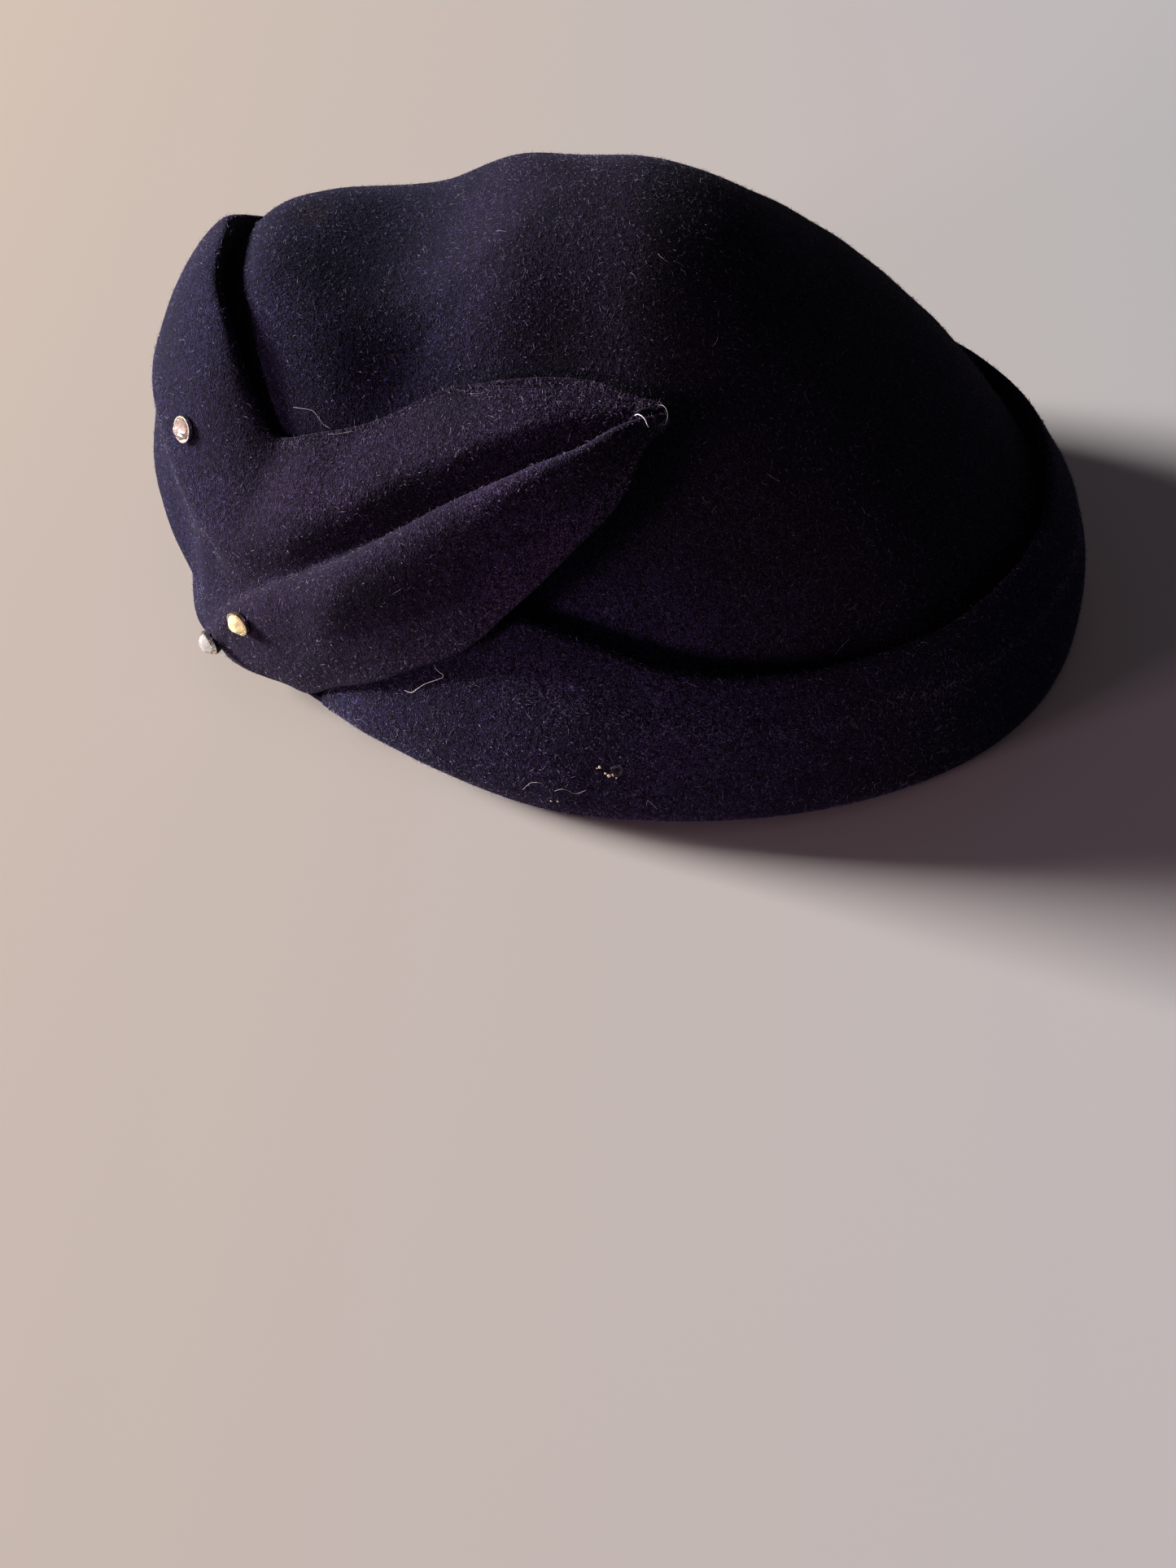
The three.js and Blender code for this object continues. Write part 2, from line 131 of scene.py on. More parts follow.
# Lines along the brim as shares of the crown's height: the lower edge over the rim, the lower lobe's crest,
# the upper fold and the felt's last edge
BRIM_HEIGHTS = table(
    ["angle", "lift", "pleat", "top", "end"],
    [
        [-312, 0.000, 0.150, 0.190, 0.178],
        [-304, 0.000, 0.200, 0.305, 0.260],
        [-297, 0.000, 0.225, 0.375, 0.310],
        [-289, 0.000, 0.240, 0.420, 0.345],
        [-281, 0.000, 0.220, 0.400, 0.325],
        [-270, 0.000, 0.190, 0.352, 0.280],
        [-240, 0.000, 0.180, 0.330, 0.255],
        [-215, 0.000, 0.190, 0.348, 0.268],
        [-180, 0.000, 0.200, 0.372, 0.292],
        [-130, 0.000, 0.190, 0.350, 0.270],
        [-90, 0.000, 0.205, 0.400, 0.315],
        [-60, 0.000, 0.255, 0.480, 0.380],
        [-38, 0.000, 0.350, 0.625, 0.510],
        [-20, 0.000, 0.410, 0.760, 0.640],
        [0, 0.000, 0.450, 0.895, 0.760],
        [15, 0.000, 0.380, 0.890, 0.750],
        [24, 0.000, 0.210, 0.835, 0.690],
        [27, 0.000, 0.165, 0.795, 0.682],
        [30, 0.000, 0.185, 0.740, 0.680],
        [34, 0.000, 0.265, 0.690, 0.700],
        [40, 0.004, 0.392, 0.745, 0.765],
        [46, 0.030, 0.498, 0.800, 0.812],
        [50, 0.105, 0.560, 0.828, 0.842],
        [54, 0.170, 0.606, 0.835, 0.847],
        [60, 0.267, 0.640, 0.822, 0.834],
        [66, 0.344, 0.662, 0.814, 0.826],
        [73, 0.471, 0.690, 0.812, 0.823],
        [80, 0.582, 0.716, 0.810, 0.820],
        [86, 0.655, 0.748, 0.804, 0.812],
        [90, 0.730, 0.765, 0.794, 0.801],
        [94.5, 0.770, 0.778, 0.788, 0.793],
    ],
)

# How far those lines, the belly, the valley and the lobe stand off the crown, as shares of the brim's bulge,
# and the layers of felt that the lower part passes over
BRIM_REACH = table(
    ["angle", "edge", "belly", "crest", "valley", "lobe", "fold", "over"],
    [
        [-312, 0.00, 0.09, 0.12, 0.11, 0.08, 0.04, 0],
        [-304, 0.00, 0.30, 0.40, 0.40, 0.35, 0.17, 0],
        [-297, 0.00, 0.40, 0.52, 0.52, 0.44, 0.23, 0],
        [-289, 0.00, 0.46, 0.58, 0.58, 0.49, 0.26, 0],
        [-281, 0.00, 0.49, 0.61, 0.61, 0.51, 0.27, 0],
        [-270, 0.00, 0.49, 0.61, 0.61, 0.51, 0.28, 0],
        [-240, 0.00, 0.36, 0.50, 0.49, 0.44, 0.26, 0],
        [-215, 0.00, 0.19, 0.32, 0.32, 0.32, 0.20, 0],
        [-180, 0.00, 0.10, 0.22, 0.23, 0.24, 0.16, 0],
        [-130, 0.00, 0.17, 0.30, 0.31, 0.31, 0.19, 0],
        [-90, 0.00, 0.37, 0.53, 0.52, 0.47, 0.27, 0],
        [-60, 0.00, 0.40, 0.64, 0.64, 0.60, 0.33, 0],
        [-38, 0.00, 0.30, 0.68, 0.68, 0.68, 0.36, 0],
        [-20, 0.00, 0.15, 0.75, 0.75, 0.75, 0.34, 0],
        [0, 0.00, 0.04, 0.79, 0.80, 0.79, 0.28, 0],
        [15, 0.00, 0.00, 0.70, 0.76, 0.86, 0.26, 0],
        [24, 0.00, 0.03, 0.28, 0.46, 0.80, 0.22, 0],
        [27, 0.03, 0.11, 0.37, 0.46, 0.77, 0.19, 0],
        [30, 0.12, 0.28, 0.49, 0.45, 0.74, 0.15, 0],
        [34, 0.17, 0.46, 0.66, 0.50, 0.69, 0.09, 0],
        [40, 0.10, 0.58, 0.78, 0.56, 0.63, 0.05, 0],
        [46, 0.06, 0.60, 0.80, 0.59, 0.58, 0.04, 0.4],
        [50, 0.20, 0.64, 0.81, 0.59, 0.55, 0.03, 0.9],
        [54, 0.37, 0.67, 0.81, 0.57, 0.53, 0.02, 1],
        [60, 0.52, 0.70, 0.80, 0.51, 0.49, 0.02, 1],
        [66, 0.58, 0.70, 0.76, 0.43, 0.43, 0.02, 1],
        [73, 0.60, 0.66, 0.69, 0.36, 0.33, 0.01, 1],
        [80, 0.60, 0.62, 0.57, 0.21, 0.20, 0.01, 0.6],
        [86, 0.48, 0.47, 0.37, 0.09, 0.10, 0.01, 0.2],
        [90, 0.29, 0.27, 0.20, 0.03, 0.04, 0.01, 0],
        [94.5, 0.05, 0.05, 0.04, 0.02, 0.02, 0.01, 0],
    ],
)

# Where the brim's lines cross the felt's width, from the lower edge to the last edge
ACROSS = np.array([0, 0.2, 0.42, 0.465, 0.72, 0.9, 1])


def mix(a: Array | float, b: Array | float, t: Array | float) -> Array:
    """The straight blend from a to b at share t."""
    return a + (np.asarray(b) - a) * t


def ease(value: Array | float) -> Array:
    """The smooth step 3t^2 - 2t^3 of a value held between 0 and 1."""
    t = np.clip(value, 0, 1)
    return t * t * (3 - 2 * t)


def rise(value: Array | float, start: float, stop: float) -> Array:
    """The smooth step that goes from 0 at start to 1 at stop."""
    return ease((value - start) / (stop - start))


def curve(xs: Array, ys: Array, x: Array) -> Array:
    """A smooth curve through points: cubic pieces whose tangents weigh the slopes of the two neighbours.

    Args:
        xs: the points' rising places, K of them.
        ys: the values, of shape (K,), or (K, ...) with one set for each x.
        x: where the curve is read.

    Returns:
        The values at x, in x's shape.
    """
    x = np.asarray(x, float)
    ys = np.broadcast_to(ys.reshape(ys.shape + (1,) * (x.ndim + 1 - ys.ndim)), (len(xs), *x.shape))
    widths = np.diff(xs).reshape(-1, *([1] * x.ndim))
    slopes = np.diff(ys, axis=0) / widths
    before, after = widths[:-1], widths[1:]
    inner = (slopes[:-1] * after + slopes[1:] * before) / (before + after)
    tangents = np.concatenate([slopes[:1], inner, slopes[-1:]])
    i = np.clip(np.searchsorted(xs, x, side="right") - 1, 0, len(xs) - 2)
    width = np.asarray(xs)[i + 1] - np.asarray(xs)[i]
    t = np.clip((x - np.asarray(xs)[i]) / width, 0, 1)

    def at(values: Array, k: Array) -> Array:
        """The values of each x's own span."""
        return np.take_along_axis(values, k[None], 0)[0]

    return (
        at(ys, i) * (1 + 2 * t) * (1 - t) ** 2
        + at(tangents, i) * width * t * (1 - t) ** 2
        + at(ys, i + 1) * t * t * (3 - 2 * t)
        + at(tangents, i + 1) * width * t * t * (t - 1)
    )


def through(places: Route, steps: int) -> tuple[Array, ...]:
    """The three columns of a route's places, each read along a smooth curve at this many steps."""
    values = np.asarray(places, float)
    stops = np.arange(len(values), dtype=float)
    where = np.linspace(0, stops[-1], steps)
    return tuple(curve(stops, values[:, k], where) for k in range(3))


def unit(vectors: Array) -> Array:
    """The vectors at length one."""
    return vectors / np.maximum(np.linalg.norm(vectors, axis=-1, keepdims=True), 1e-12)


def normals_of(surface: Surface, a: Array, b: Array, step_a: float, step_b: float, last_b: float) -> Array:
    """Unit normals of a surface of two parameters: the cross product of its small steps along each."""
    along_a = surface(a + step_a, b) - surface(a - step_a, b)
    along_b = surface(a, np.minimum(b + step_b, last_b)) - surface(a, np.maximum(b - step_b, 0))
    return unit(np.cross(along_a, along_b))


def ripple(points: Array, sizes: Sequence[float], seed: int) -> Array:
    """A soft uneven value, about -1 to 1: a mean of sine waves in chance directions, a set for each length.

    Args:
        points: places in millimetres, of shape (..., 3).
        sizes: the wavelengths in millimetres.
        seed: chooses the waves.

    Returns:
        The value at each point.
    """
    rng = np.random.default_rng(seed)
    total = np.zeros(points.shape[:-1])
    for size in sizes:
        waves = unit(rng.normal(size=(6, 3))) * (2 * math.pi / size)
        total += np.sin(points @ waves.T + rng.uniform(0, 2 * math.pi, 6)).sum(-1) / 3.5
    return total / len(sizes)


# Meshes


@dataclass
class Skin:
    """A mesh in the making: its points in millimetres, its faces, and values painted on its points."""

    points: Array
    faces: list[Array]
    paint: dict[str, Array] = field(default_factory=dict)

    @staticmethod
    def lofted(rings: Array, poles: tuple[Array, Array] | None = None) -> "Skin":
        """Skin over a grid of points that closes along its second side, with a fan to a pole at each end.

        Point (i, j) joins (i + 1, j) and (i, j + 1). Faces point out where the first side crossed with the
        second does.

        Args:
            rings: points of shape (n, m, 3).
            poles: the middle points of the two ends, or None for their means.

        Returns:
            The closed skin.
        """
        n, m = rings.shape[:2]
        i, j = np.meshgrid(np.arange(n - 1), np.arange(m), indexing="ij")
        j2 = (j + 1) % m
        quads = np.stack([i * m + j, (i + 1) * m + j, (i + 1) * m + j2, i * m + j2], -1).reshape(-1, 4)
        first, last = poles if poles is not None else (rings[0].mean(0), rings[-1].mean(0))
        around = np.arange(m)
        beyond = (around + 1) % m
        start = np.stack([np.full(m, n * m), around, beyond], -1)
        end = np.stack([np.full(m, n * m + 1), (n - 1) * m + beyond, (n - 1) * m + around], -1)
        return Skin(np.vstack([rings.reshape(-1, 3), first[None], last[None]]), [quads, start, end])

    @staticmethod
    def gathered(skins: Sequence["Skin"]) -> "Skin":
        """Skins as one, in their order, with the values that the first one has."""
        starts = np.cumsum([0] + [len(skin.points) for skin in skins])
        faces = [f + start for skin, start in zip(skins, starts) for f in skin.faces]
        paint = {k: np.concatenate([skin.paint[k] for skin in skins]) for k in skins[0].paint}
        return Skin(np.vstack([skin.points for skin in skins]), faces, paint)

    def turned_out(self) -> "Skin":
        """The skin with its faces the other way round."""
        return Skin(self.points, [f[:, ::-1] for f in self.faces], self.paint)

    def evenly(self, **values: float) -> "Skin":
        """The skin painted all over with these values."""
        return Skin(self.points, self.faces, {k: np.full(len(self.points), v) for k, v in values.items()})

    def made(self, name: str, material: bpy.types.Material, origin: Array) -> bpy.types.Object:
        """The skin as an object in the frame.

        Args:
            name: the piece's name.
            material: its finish.
            origin: the frame's place of the skin's origin, in metres.

        Returns:
            The object, at the origin, with its place in its mesh.
        """
        mesh = bpy.data.meshes.new(name)
        place = (self.points * MM + origin).astype(np.float32)
        sizes = np.concatenate([np.full(len(f), f.shape[1]) for f in self.faces])
        corners = np.concatenate([f.ravel() for f in self.faces])
        mesh.vertices.add(len(place))
        mesh.vertices.foreach_set("co", place.ravel())
        mesh.loops.add(len(corners))
        mesh.loops.foreach_set("vertex_index", corners.astype(np.int32))
        mesh.polygons.add(len(sizes))
        starts = np.concatenate([[0], np.cumsum(sizes)[:-1]])
        mesh.polygons.foreach_set("loop_start", starts.astype(np.int32))
        mesh.polygons.foreach_set("loop_total", sizes.astype(np.int32))
        mesh.update(calc_edges=True)
        mesh.polygons.foreach_set("use_smooth", np.full(len(sizes), True))
        for key, values in self.paint.items():
            layer = mesh.attributes.new(key, "FLOAT", "POINT")
            layer.data.foreach_set("value", values.astype(np.float32))
        mesh.validate()
        mesh.materials.append(material)
        made = bpy.data.objects.new(name, mesh)
        bpy.context.scene.collection.objects.link(made)
        return made


def tube(path: Array, radii: Array, sides: int) -> Skin:
    """A closed round tube along a path: circles square to the path's tangent, turned as little as may be.

    Args:
        path: the path's points in millimetres, of shape (n, 3).
        radii: the radius at each point, or at each point and side.
        sides: sides of each circle.

    Returns:
        The tube's skin.
    """
    tangents = unit(np.gradient(path, axis=0))
    across = unit(np.cross(tangents, ASKEW))
    other = np.cross(tangents, across)
    turn = np.linspace(0, 2 * math.pi, sides, endpoint=False)
    ring = across[:, None] * np.cos(turn)[:, None] + other[:, None] * np.sin(turn)[:, None]
    reach = radii[:, None] if radii.ndim == 1 else radii
    return Skin.lofted(path[:, None] + ring * reach[..., None]).turned_out()


# The felt's form


@dataclass(frozen=True)
class HatForm:
    """The felt's surfaces in millimetres, as functions of degrees from the front and of a share.

    The sizes are those of the solids. The origin is under the middle of the crown's rim.
    """

    felt: float = 2.0
    layer_gap: float = 0.4
    head_length: float = 203.0
    head_width: float = 161.5
    crown_height: float = 100.5
    crown_front: float = 91.5
    crown_back: float = 104.5
    crown_side: float = 78.5
    widest_behind: float = 6.0
    apex_forward: float = 10.0
    side_bend: float = 34.0
    front_bend: float = 72.0
    shoulder_front: float = 6.5
    shoulder_side: float = 2.07
    shoulder_back: float = 1.62
    shoulder_apex: float = 2.2
    shoulder_near: float = 2.4
    near_angle: float = 22.0
    near_spread: float = 24.0
    front_turn: float = 3.4
    back_turn: float = 1.5
    apex_from: float = 60.0
    square_from: float = 0.25
    square_beside: float = 38.0
    arch_angle: float = 44.0
    arch_forward: float = 36.0
    arch_backward: float = 38.0
    arch_rise: float = 11.5
    brim_bulge: float = 14.0
    pleat_hang: float = 1.0
    belly_rise: float = 0.4
    lobe_rise: float = 0.55
    plain_rise: float = 0.18

    def from_front(self, angle: Array) -> Array:
        """Degrees from the front, from -180 to 180, positive on the wearer's left."""
        return (np.asarray(angle) + 180) % 360 - 180

    def rim_rise(self, angle: Array) -> Array:
        """Height of the rim: a smooth arch in front of the near side, nothing elsewhere."""
        turn = self.from_front(angle) - self.arch_angle
        away = np.where(turn < 0, -turn / self.arch_forward, turn / self.arch_backward)
        return self.arch_rise * (1 - ease(away))

    def shoulder(self, angle: Array) -> Array:
        """Exponent of the wall's curve: high and so square at the front, fuller still where the cuff leaves
        the crown on the near side, and low and so sloping at the back."""
        forward = np.cos(np.radians(angle))
        near = 1 - ease(np.abs(self.from_front(angle) - self.near_angle) / self.near_spread)
        front = (self.shoulder_front - self.shoulder_side) * np.maximum(forward, 0) ** self.front_turn
        back = (self.shoulder_back - self.shoulder_side) * np.maximum(-forward, 0) ** self.back_turn
        return self.shoulder_side + front + back + self.shoulder_near * near

    def crown_point(self, angle: Array, inward: Array, up: Array) -> Array:
        """A point of the crown: an oval wall that draws in with height, scaled towards the middle line, under
        the crest's curve.

        Args:
            angle: degrees from the front.
            inward: 1 at the wall and 0 over the middle.
            up: share of the height.

        Returns:
            Points in millimetres.
        """
        side, forward = np.sin(np.radians(angle)), np.cos(np.radians(angle))
        bend = mix(self.side_bend, self.front_bend, np.maximum(forward, 0) ** 2)
        drawn = ease(up * self.crown_height / bend)
        reach = np.where(forward > 0, self.crown_front, self.crown_back)
        wall_x = mix(self.head_width / 2, self.crown_side, drawn) * side
        wall_y = -mix(self.head_length / 2, reach, drawn) * forward + self.widest_behind * side * side
        y = mix(-self.apex_forward, wall_y, inward)
        crest = curve(CREST["place"], CREST["height"], y / (self.head_length / 2))
        return np.stack(np.broadcast_arrays(wall_x * inward, y, up * self.crown_height * crest), -1)

    def wall_point(self, angle: Array, up: Array) -> Array:
        """The wall at a share of the crown's height: in = (1 - up^p)^(1/p), where p is the shoulder's."""
        power = self.shoulder(angle)
        inward = np.clip(1 - np.clip(up, 0, 1) ** power, 0, 1) ** (1 / power)
        return self.crown_point(angle, inward, up)

    def dome_point(self, angle: Array, tilt: Array) -> Array:
        """The crown from the rim (tilt 0) to the middle (tilt 90): a superellipse whose exponent eases to the
        apex's own, so that the top is round."""
        power = mix(self.shoulder(angle), self.shoulder_apex, rise(tilt, self.apex_from, 90))
        c, s = np.maximum(np.cos(np.radians(tilt)), 0), np.maximum(np.sin(np.radians(tilt)), 0)
        size = (c**power + s**power) ** (1 / power)
        up = np.maximum(s / size, self.rim_rise(angle) / self.crown_height * c * c)
        return self.crown_point(angle, c / size, up)

    def off_wall(self, angle: Array, up: Array, out: Array) -> Array:
        """A point off the crown's wall: level at the rim and the front, square to the wall elsewhere."""
        square = normals_of(self.wall_point, angle, up, SMALL_TURN, SMALL_RISE, 1 - SMALL_RISE / 2)
        level = unit(square * [1, 1, 0])
        share = ease(up / self.square_from) * ease(np.abs(self.from_front(angle)) / self.square_beside)
        direction = unit(mix(level, square, share[..., None]))
        return self.wall_point(angle, up) + direction * out[..., None]

    def brim_middle(self, angle: Array, across: Array) -> Array:
        """The middle of the brim's felt: heights and reaches of its edge, belly, pleat crest and valley,
        lobe, fold and end, each a smooth curve round the hat, joined by a smooth curve across the felt.

        Args:
            angle: degrees from the front, from -312 to 94.5.
            across: share of the felt's width, from the lower edge.

        Returns:
            Points in millimetres.
        """
        angle, across = np.broadcast_arrays(np.asarray(angle, float), np.asarray(across, float))
        flat = np.unique(angle)
        where = np.searchsorted(flat, angle)

        def height(column: str) -> Array:
            """One line's height at the angles."""
            return curve(BRIM_HEIGHTS["angle"], BRIM_HEIGHTS[column], flat)[where]

        def reach(column: str) -> Array:
            """One line's reach at the angles, as a share of the bulge."""
            return curve(BRIM_REACH["angle"], BRIM_REACH[column], flat)[where]

        bulge = self.brim_bulge
        seat = self.layer_gap + self.felt / 2
        over = seat + reach("over") * (self.felt + self.layer_gap)
        low = self.rim_rise(angle) / self.crown_height + height("lift")
        pleat, top = height("pleat"), height("top")
        stepped = np.clip((reach("crest") - reach("valley")) * bulge / (2 * self.felt), 0, 1)
        valley = mix(mix(pleat, top, self.plain_rise), pleat - self.pleat_hang / self.crown_height, stepped)
        belly, lobe = mix(low, pleat, self.belly_rise), mix(pleat, top, self.lobe_rise)
        ups = [low, belly, pleat, valley, lobe, top, height("end")]
        outs = [
            over + reach("edge") * bulge,
            over + reach("belly") * bulge,
            over + reach("crest") * bulge,
            seat + reach("valley") * bulge,
            seat + reach("lobe") * bulge,
            seat + reach("fold") * bulge,
            np.full(angle.shape, seat),
        ]
        up, out = (curve(ACROSS, np.stack(lines), across) for lines in (ups, outs))
        return self.off_wall(angle, up, out)

    def brim_normal(self, angle: Array, across: Array) -> Array:
        """The way that the brim's face looks."""
        return normals_of(self.brim_middle, angle, across, SMALL_ALONG, SMALL_ACROSS, 1.0)

    def dome_normal(self, angle: Array, tilt: Array) -> Array:
        """The way that the crown's outside looks."""
        return normals_of(self.dome_point, angle, tilt, SMALL_TURN, SMALL_TILT, 90 - SMALL_TILT)

    def on_crown(self, angle: Array, tilt: Array, above: Array | float = 0.0) -> tuple[Array, Array]:
        """Places on the crown's outside and the normals there.

        Args:
            angle: degrees from the front.
            tilt: degrees up the crown.
            above: millimetres off the felt.

        Returns:
            The points and the normals.
        """
        normal = self.dome_normal(angle, tilt)
        lift = np.broadcast_to(above, np.shape(angle))[..., None]
        return self.uneven(self.dome_point(angle, tilt)) + normal * lift, normal

    def on_brim(self, angle: Array, across: Array, above: Array | float = 0.0) -> tuple[Array, Array]:
        """Places on the brim's face and the normals there.

        Args:
            angle: degrees from the front.
            across: share of the felt's width.
            above: millimetres off the face.

        Returns:
            The points and the normals.
        """
        angle, across = np.broadcast_arrays(np.asarray(angle, float), np.asarray(across, float))
        normal = self.brim_normal(angle, across)
        lift = np.broadcast_to(np.asarray(above, float), angle.shape)[..., None] + self.felt / 2
        return self.uneven(self.brim_middle(angle, across) + normal * lift), normal

    def uneven(self, points: Array) -> Array:
        """The points with the slight unevenness of worked felt: all layers shift alike, by up to 0.4 mm, and
        not at the rim, which rests on the floor, nor under the stones."""
        full = ease(points[..., 2] / FULL_FROM)
        for angle, across in STONES:
            apart = np.linalg.norm(points - self.brim_middle(angle, across), axis=-1)
            full = full * ease((apart - STONE_CALM) / STONE_FADE)
        waves = np.stack([ripple(points, WAVE_LENGTHS, seed) for seed in WAVE_SEEDS], -1)
        return points + waves * WAVE_REACH * full[..., None]


# The felt pieces


@dataclass(frozen=True)
class WearAndLight:
    """Where the felt has painted warm light, rubbing, painted fill light and painted shade on its pile, as
    values from 0 to 1.

    Each pair says where such a place begins and is in full, in millimetres or in degrees from the front.
    """

    form: HatForm
    # Painted warm light that tints the felt from navy to aubergine: its least share, its rise and its spans
    least_warm_lit: float = 0.25
    warm_lit_back: tuple[float, float] = (-45, 25)
    warm_lit_above: float = 60.0
    warm_lit_slope: float = 0.5
    warm_lit_leaf: tuple[float, float] = (18, 38)
    warm_lit_roll: tuple[float, float] = (START_ANGLE, START_ANGLE + 30)
    plain_roll: tuple[float, float] = (-262, -202)
    brim_warm_lit: float = 0.15
    roll_warm_lit: float = 0.45
    stain_place: tuple[float, float] = (-4.5, 52.5)
    stain_size: tuple[float, float, float] = (3.6, 2.6, 2.6)
    # Painted fill light, which makes the felt and its pile paler: where it begins and is in full, and its share
    # on the leaf
    fill_light_side: tuple[float, float] = (25, 50)
    fill_light_front: tuple[float, float] = (-42, -17)
    fill_light_back: tuple[float, float] = (15, 50)
    fill_light_above: tuple[float, float] = (42, 58)
    fill_light_tip: tuple[float, float] = (58, 74)
    leaf_fill_light: float = 0.9
    # Where painted shade darkens the pile along the front fold's edge
    turned_place: tuple[float, float] = (24.0, 0.65)
    turned_reach: tuple[float, float] = (9.0, 0.07)

    def crown_warmth(self, points: Array) -> Array:
        """How far painted warm light tints the crown from navy to aubergine: more behind the dent, sooner high
        up.
        """
        back = points[..., 1] + self.warm_lit_slope * (points[..., 2] - self.warm_lit_above)
        return mix(self.least_warm_lit, 1.0, rise(back, *self.warm_lit_back))

    def brim_warmth(self, angle: Array) -> Array:
        """Painted warm light on the brim: least on the front cuff, most on the leaf, and some on the near roll.
        """
        roll = rise(angle, *self.warm_lit_roll) * (1 - rise(angle, *self.plain_roll))
        return np.maximum(rise(angle, *self.warm_lit_leaf), self.brim_warm_lit + self.roll_warm_lit * roll)

    def stain(self, points: Array) -> Array:
        """The small brownish rub on the crown's front edge: a soft oval, exp(-0.7 d^2), round its middle."""
        middle = self.form.dome_point(*np.array(self.stain_place))
        return np.exp(-0.7 * (((points - middle) / self.stain_size) ** 2).sum(-1))

    def painted_fill_light(self, points: Array) -> Array:
        """How far painted fill light makes the felt and its pile paler: low on the near side, midway along the
        hat.
        """
        x, y, z = np.moveaxis(points, -1, 0)
        low = rise(x, *self.fill_light_side) * (1 - rise(z, *self.fill_light_above))
        return low * rise(y, *self.fill_light_front) * (1 - rise(y, *self.fill_light_back))

    def painted_fill_light_leaf(self, angle: Array) -> Array:
        """The same along the leaf's end."""
        return self.leaf_fill_light * rise(angle, *self.fill_light_tip)

    def turned_away(self, angle: Array, across: Array) -> Array:
        """Where painted shade darkens the pile along the line where the front fold turns away: a fall off both
        its sides.
        """
        aside = np.abs(angle - self.turned_place[0]) / self.turned_reach[0]
        above = np.abs(across - self.turned_place[1]) / self.turned_reach[1]
        return (1 - ease(aside)) * (1 - ease(above))


@dataclass(frozen=True)
class RawEdge:
    """The cut edge of the felt: nearly square, with worn corners."""

    depth: float = 0.55
    squareness: float = 3.0
    rows: int = 7

    def across(self, edge: Array, out: Array, normal: Array, half: float) -> Array:
        """Points round an edge from the face to the back: a superellipse of half the felt and the depth.

        Args:
            edge: the middle of the felt at its edge, of shape (n, 3).
            out: unit directions out of the edge.
            normal: unit normals of the face.
            half: half of the felt's thickness.

        Returns:
            Points of shape (n, rows, 3).
        """
        turn = np.linspace(0, math.pi, self.rows + 2)[1:-1]
        c, s = np.cos(turn), np.sin(turn)
        along = np.sign(c) * np.abs(c) ** (2 / self.squareness) * half
        beyond = s ** (2 / self.squareness) * self.depth
        return edge[:, None] + normal[:, None] * along[:, None] + out[:, None] * beyond[:, None]


@dataclass
class Crown:
    """The dome of felt, open below, with its inner face and its rounded rim."""

    form: HatForm
    columns: int = 320
    rows: int = 104
    inner_rows: int = 56
    edge_rows: int = 7
    edge_drop: float = 0.5
    edge_raw: float = 0.5
    top_tilt: float = 89.4
    # Strength of the painted fill light on the crown's felt
    painted_fill_light: float = 1.4

    def tilts(self, rows: int) -> Array:
        """Tilts at even steps from next to the apex down to the rim."""
        return self.top_tilt * (1 - np.linspace(0, 1, rows))

    def skin(self) -> Skin:
        """The crown's closed skin: the outside from the apex to the rim, round the edge and up the inside."""
        form, wear_and_light = self.form, WearAndLight(self.form)
        angle = np.linspace(0, 360, self.columns, endpoint=False)
        outer = form.dome_point(*np.meshgrid(angle, self.tilts(self.rows)))
        under = np.meshgrid(angle, self.tilts(self.inner_rows)[::-1])
        inner = form.dome_point(*under) - form.dome_normal(*under) * form.felt
        inner[0, :, 2] = outer[-1, :, 2]
        turn = np.linspace(0, math.pi, self.edge_rows + 2)[1:-1, None, None]
        middle, half = (outer[-1] + inner[0]) / 2, (outer[-1] - inner[0]) / 2
        edge = middle + half * np.cos(turn) - np.array([0, 0, self.edge_drop]) * np.sin(turn)
        edge[..., 2] = np.maximum(edge[..., 2], form.rim_rise(angle))
        rings = form.uneven(np.concatenate([outer, edge, inner]))
        top = form.uneven(form.dome_point(np.array([0.0]), np.array([90.0])))[0]
        skin = Skin.lofted(rings, poles=(top, top - [0, 0, form.felt]))
        outside = self.rows + self.edge_rows // 2 + 1
        inside = np.arange(len(rings)) >= outside
        raw = np.zeros(len(rings))
        raw[self.rows : self.rows + self.edge_rows] = self.edge_raw
        skin.paint = {
            "inside": np.append(np.repeat(inside, self.columns), [0, 1]),
            "raw": np.append(np.repeat(raw, self.columns), [0, 0]),
            # Painted warm light tints the felt, and painted fill light makes it paler on the near side
            "warm": wear_and_light.crown_warmth(skin.points),
            "stain": wear_and_light.stain(skin.points),
            "painted_fill_light": wear_and_light.painted_fill_light(skin.points) * self.painted_fill_light,
        }
        return skin


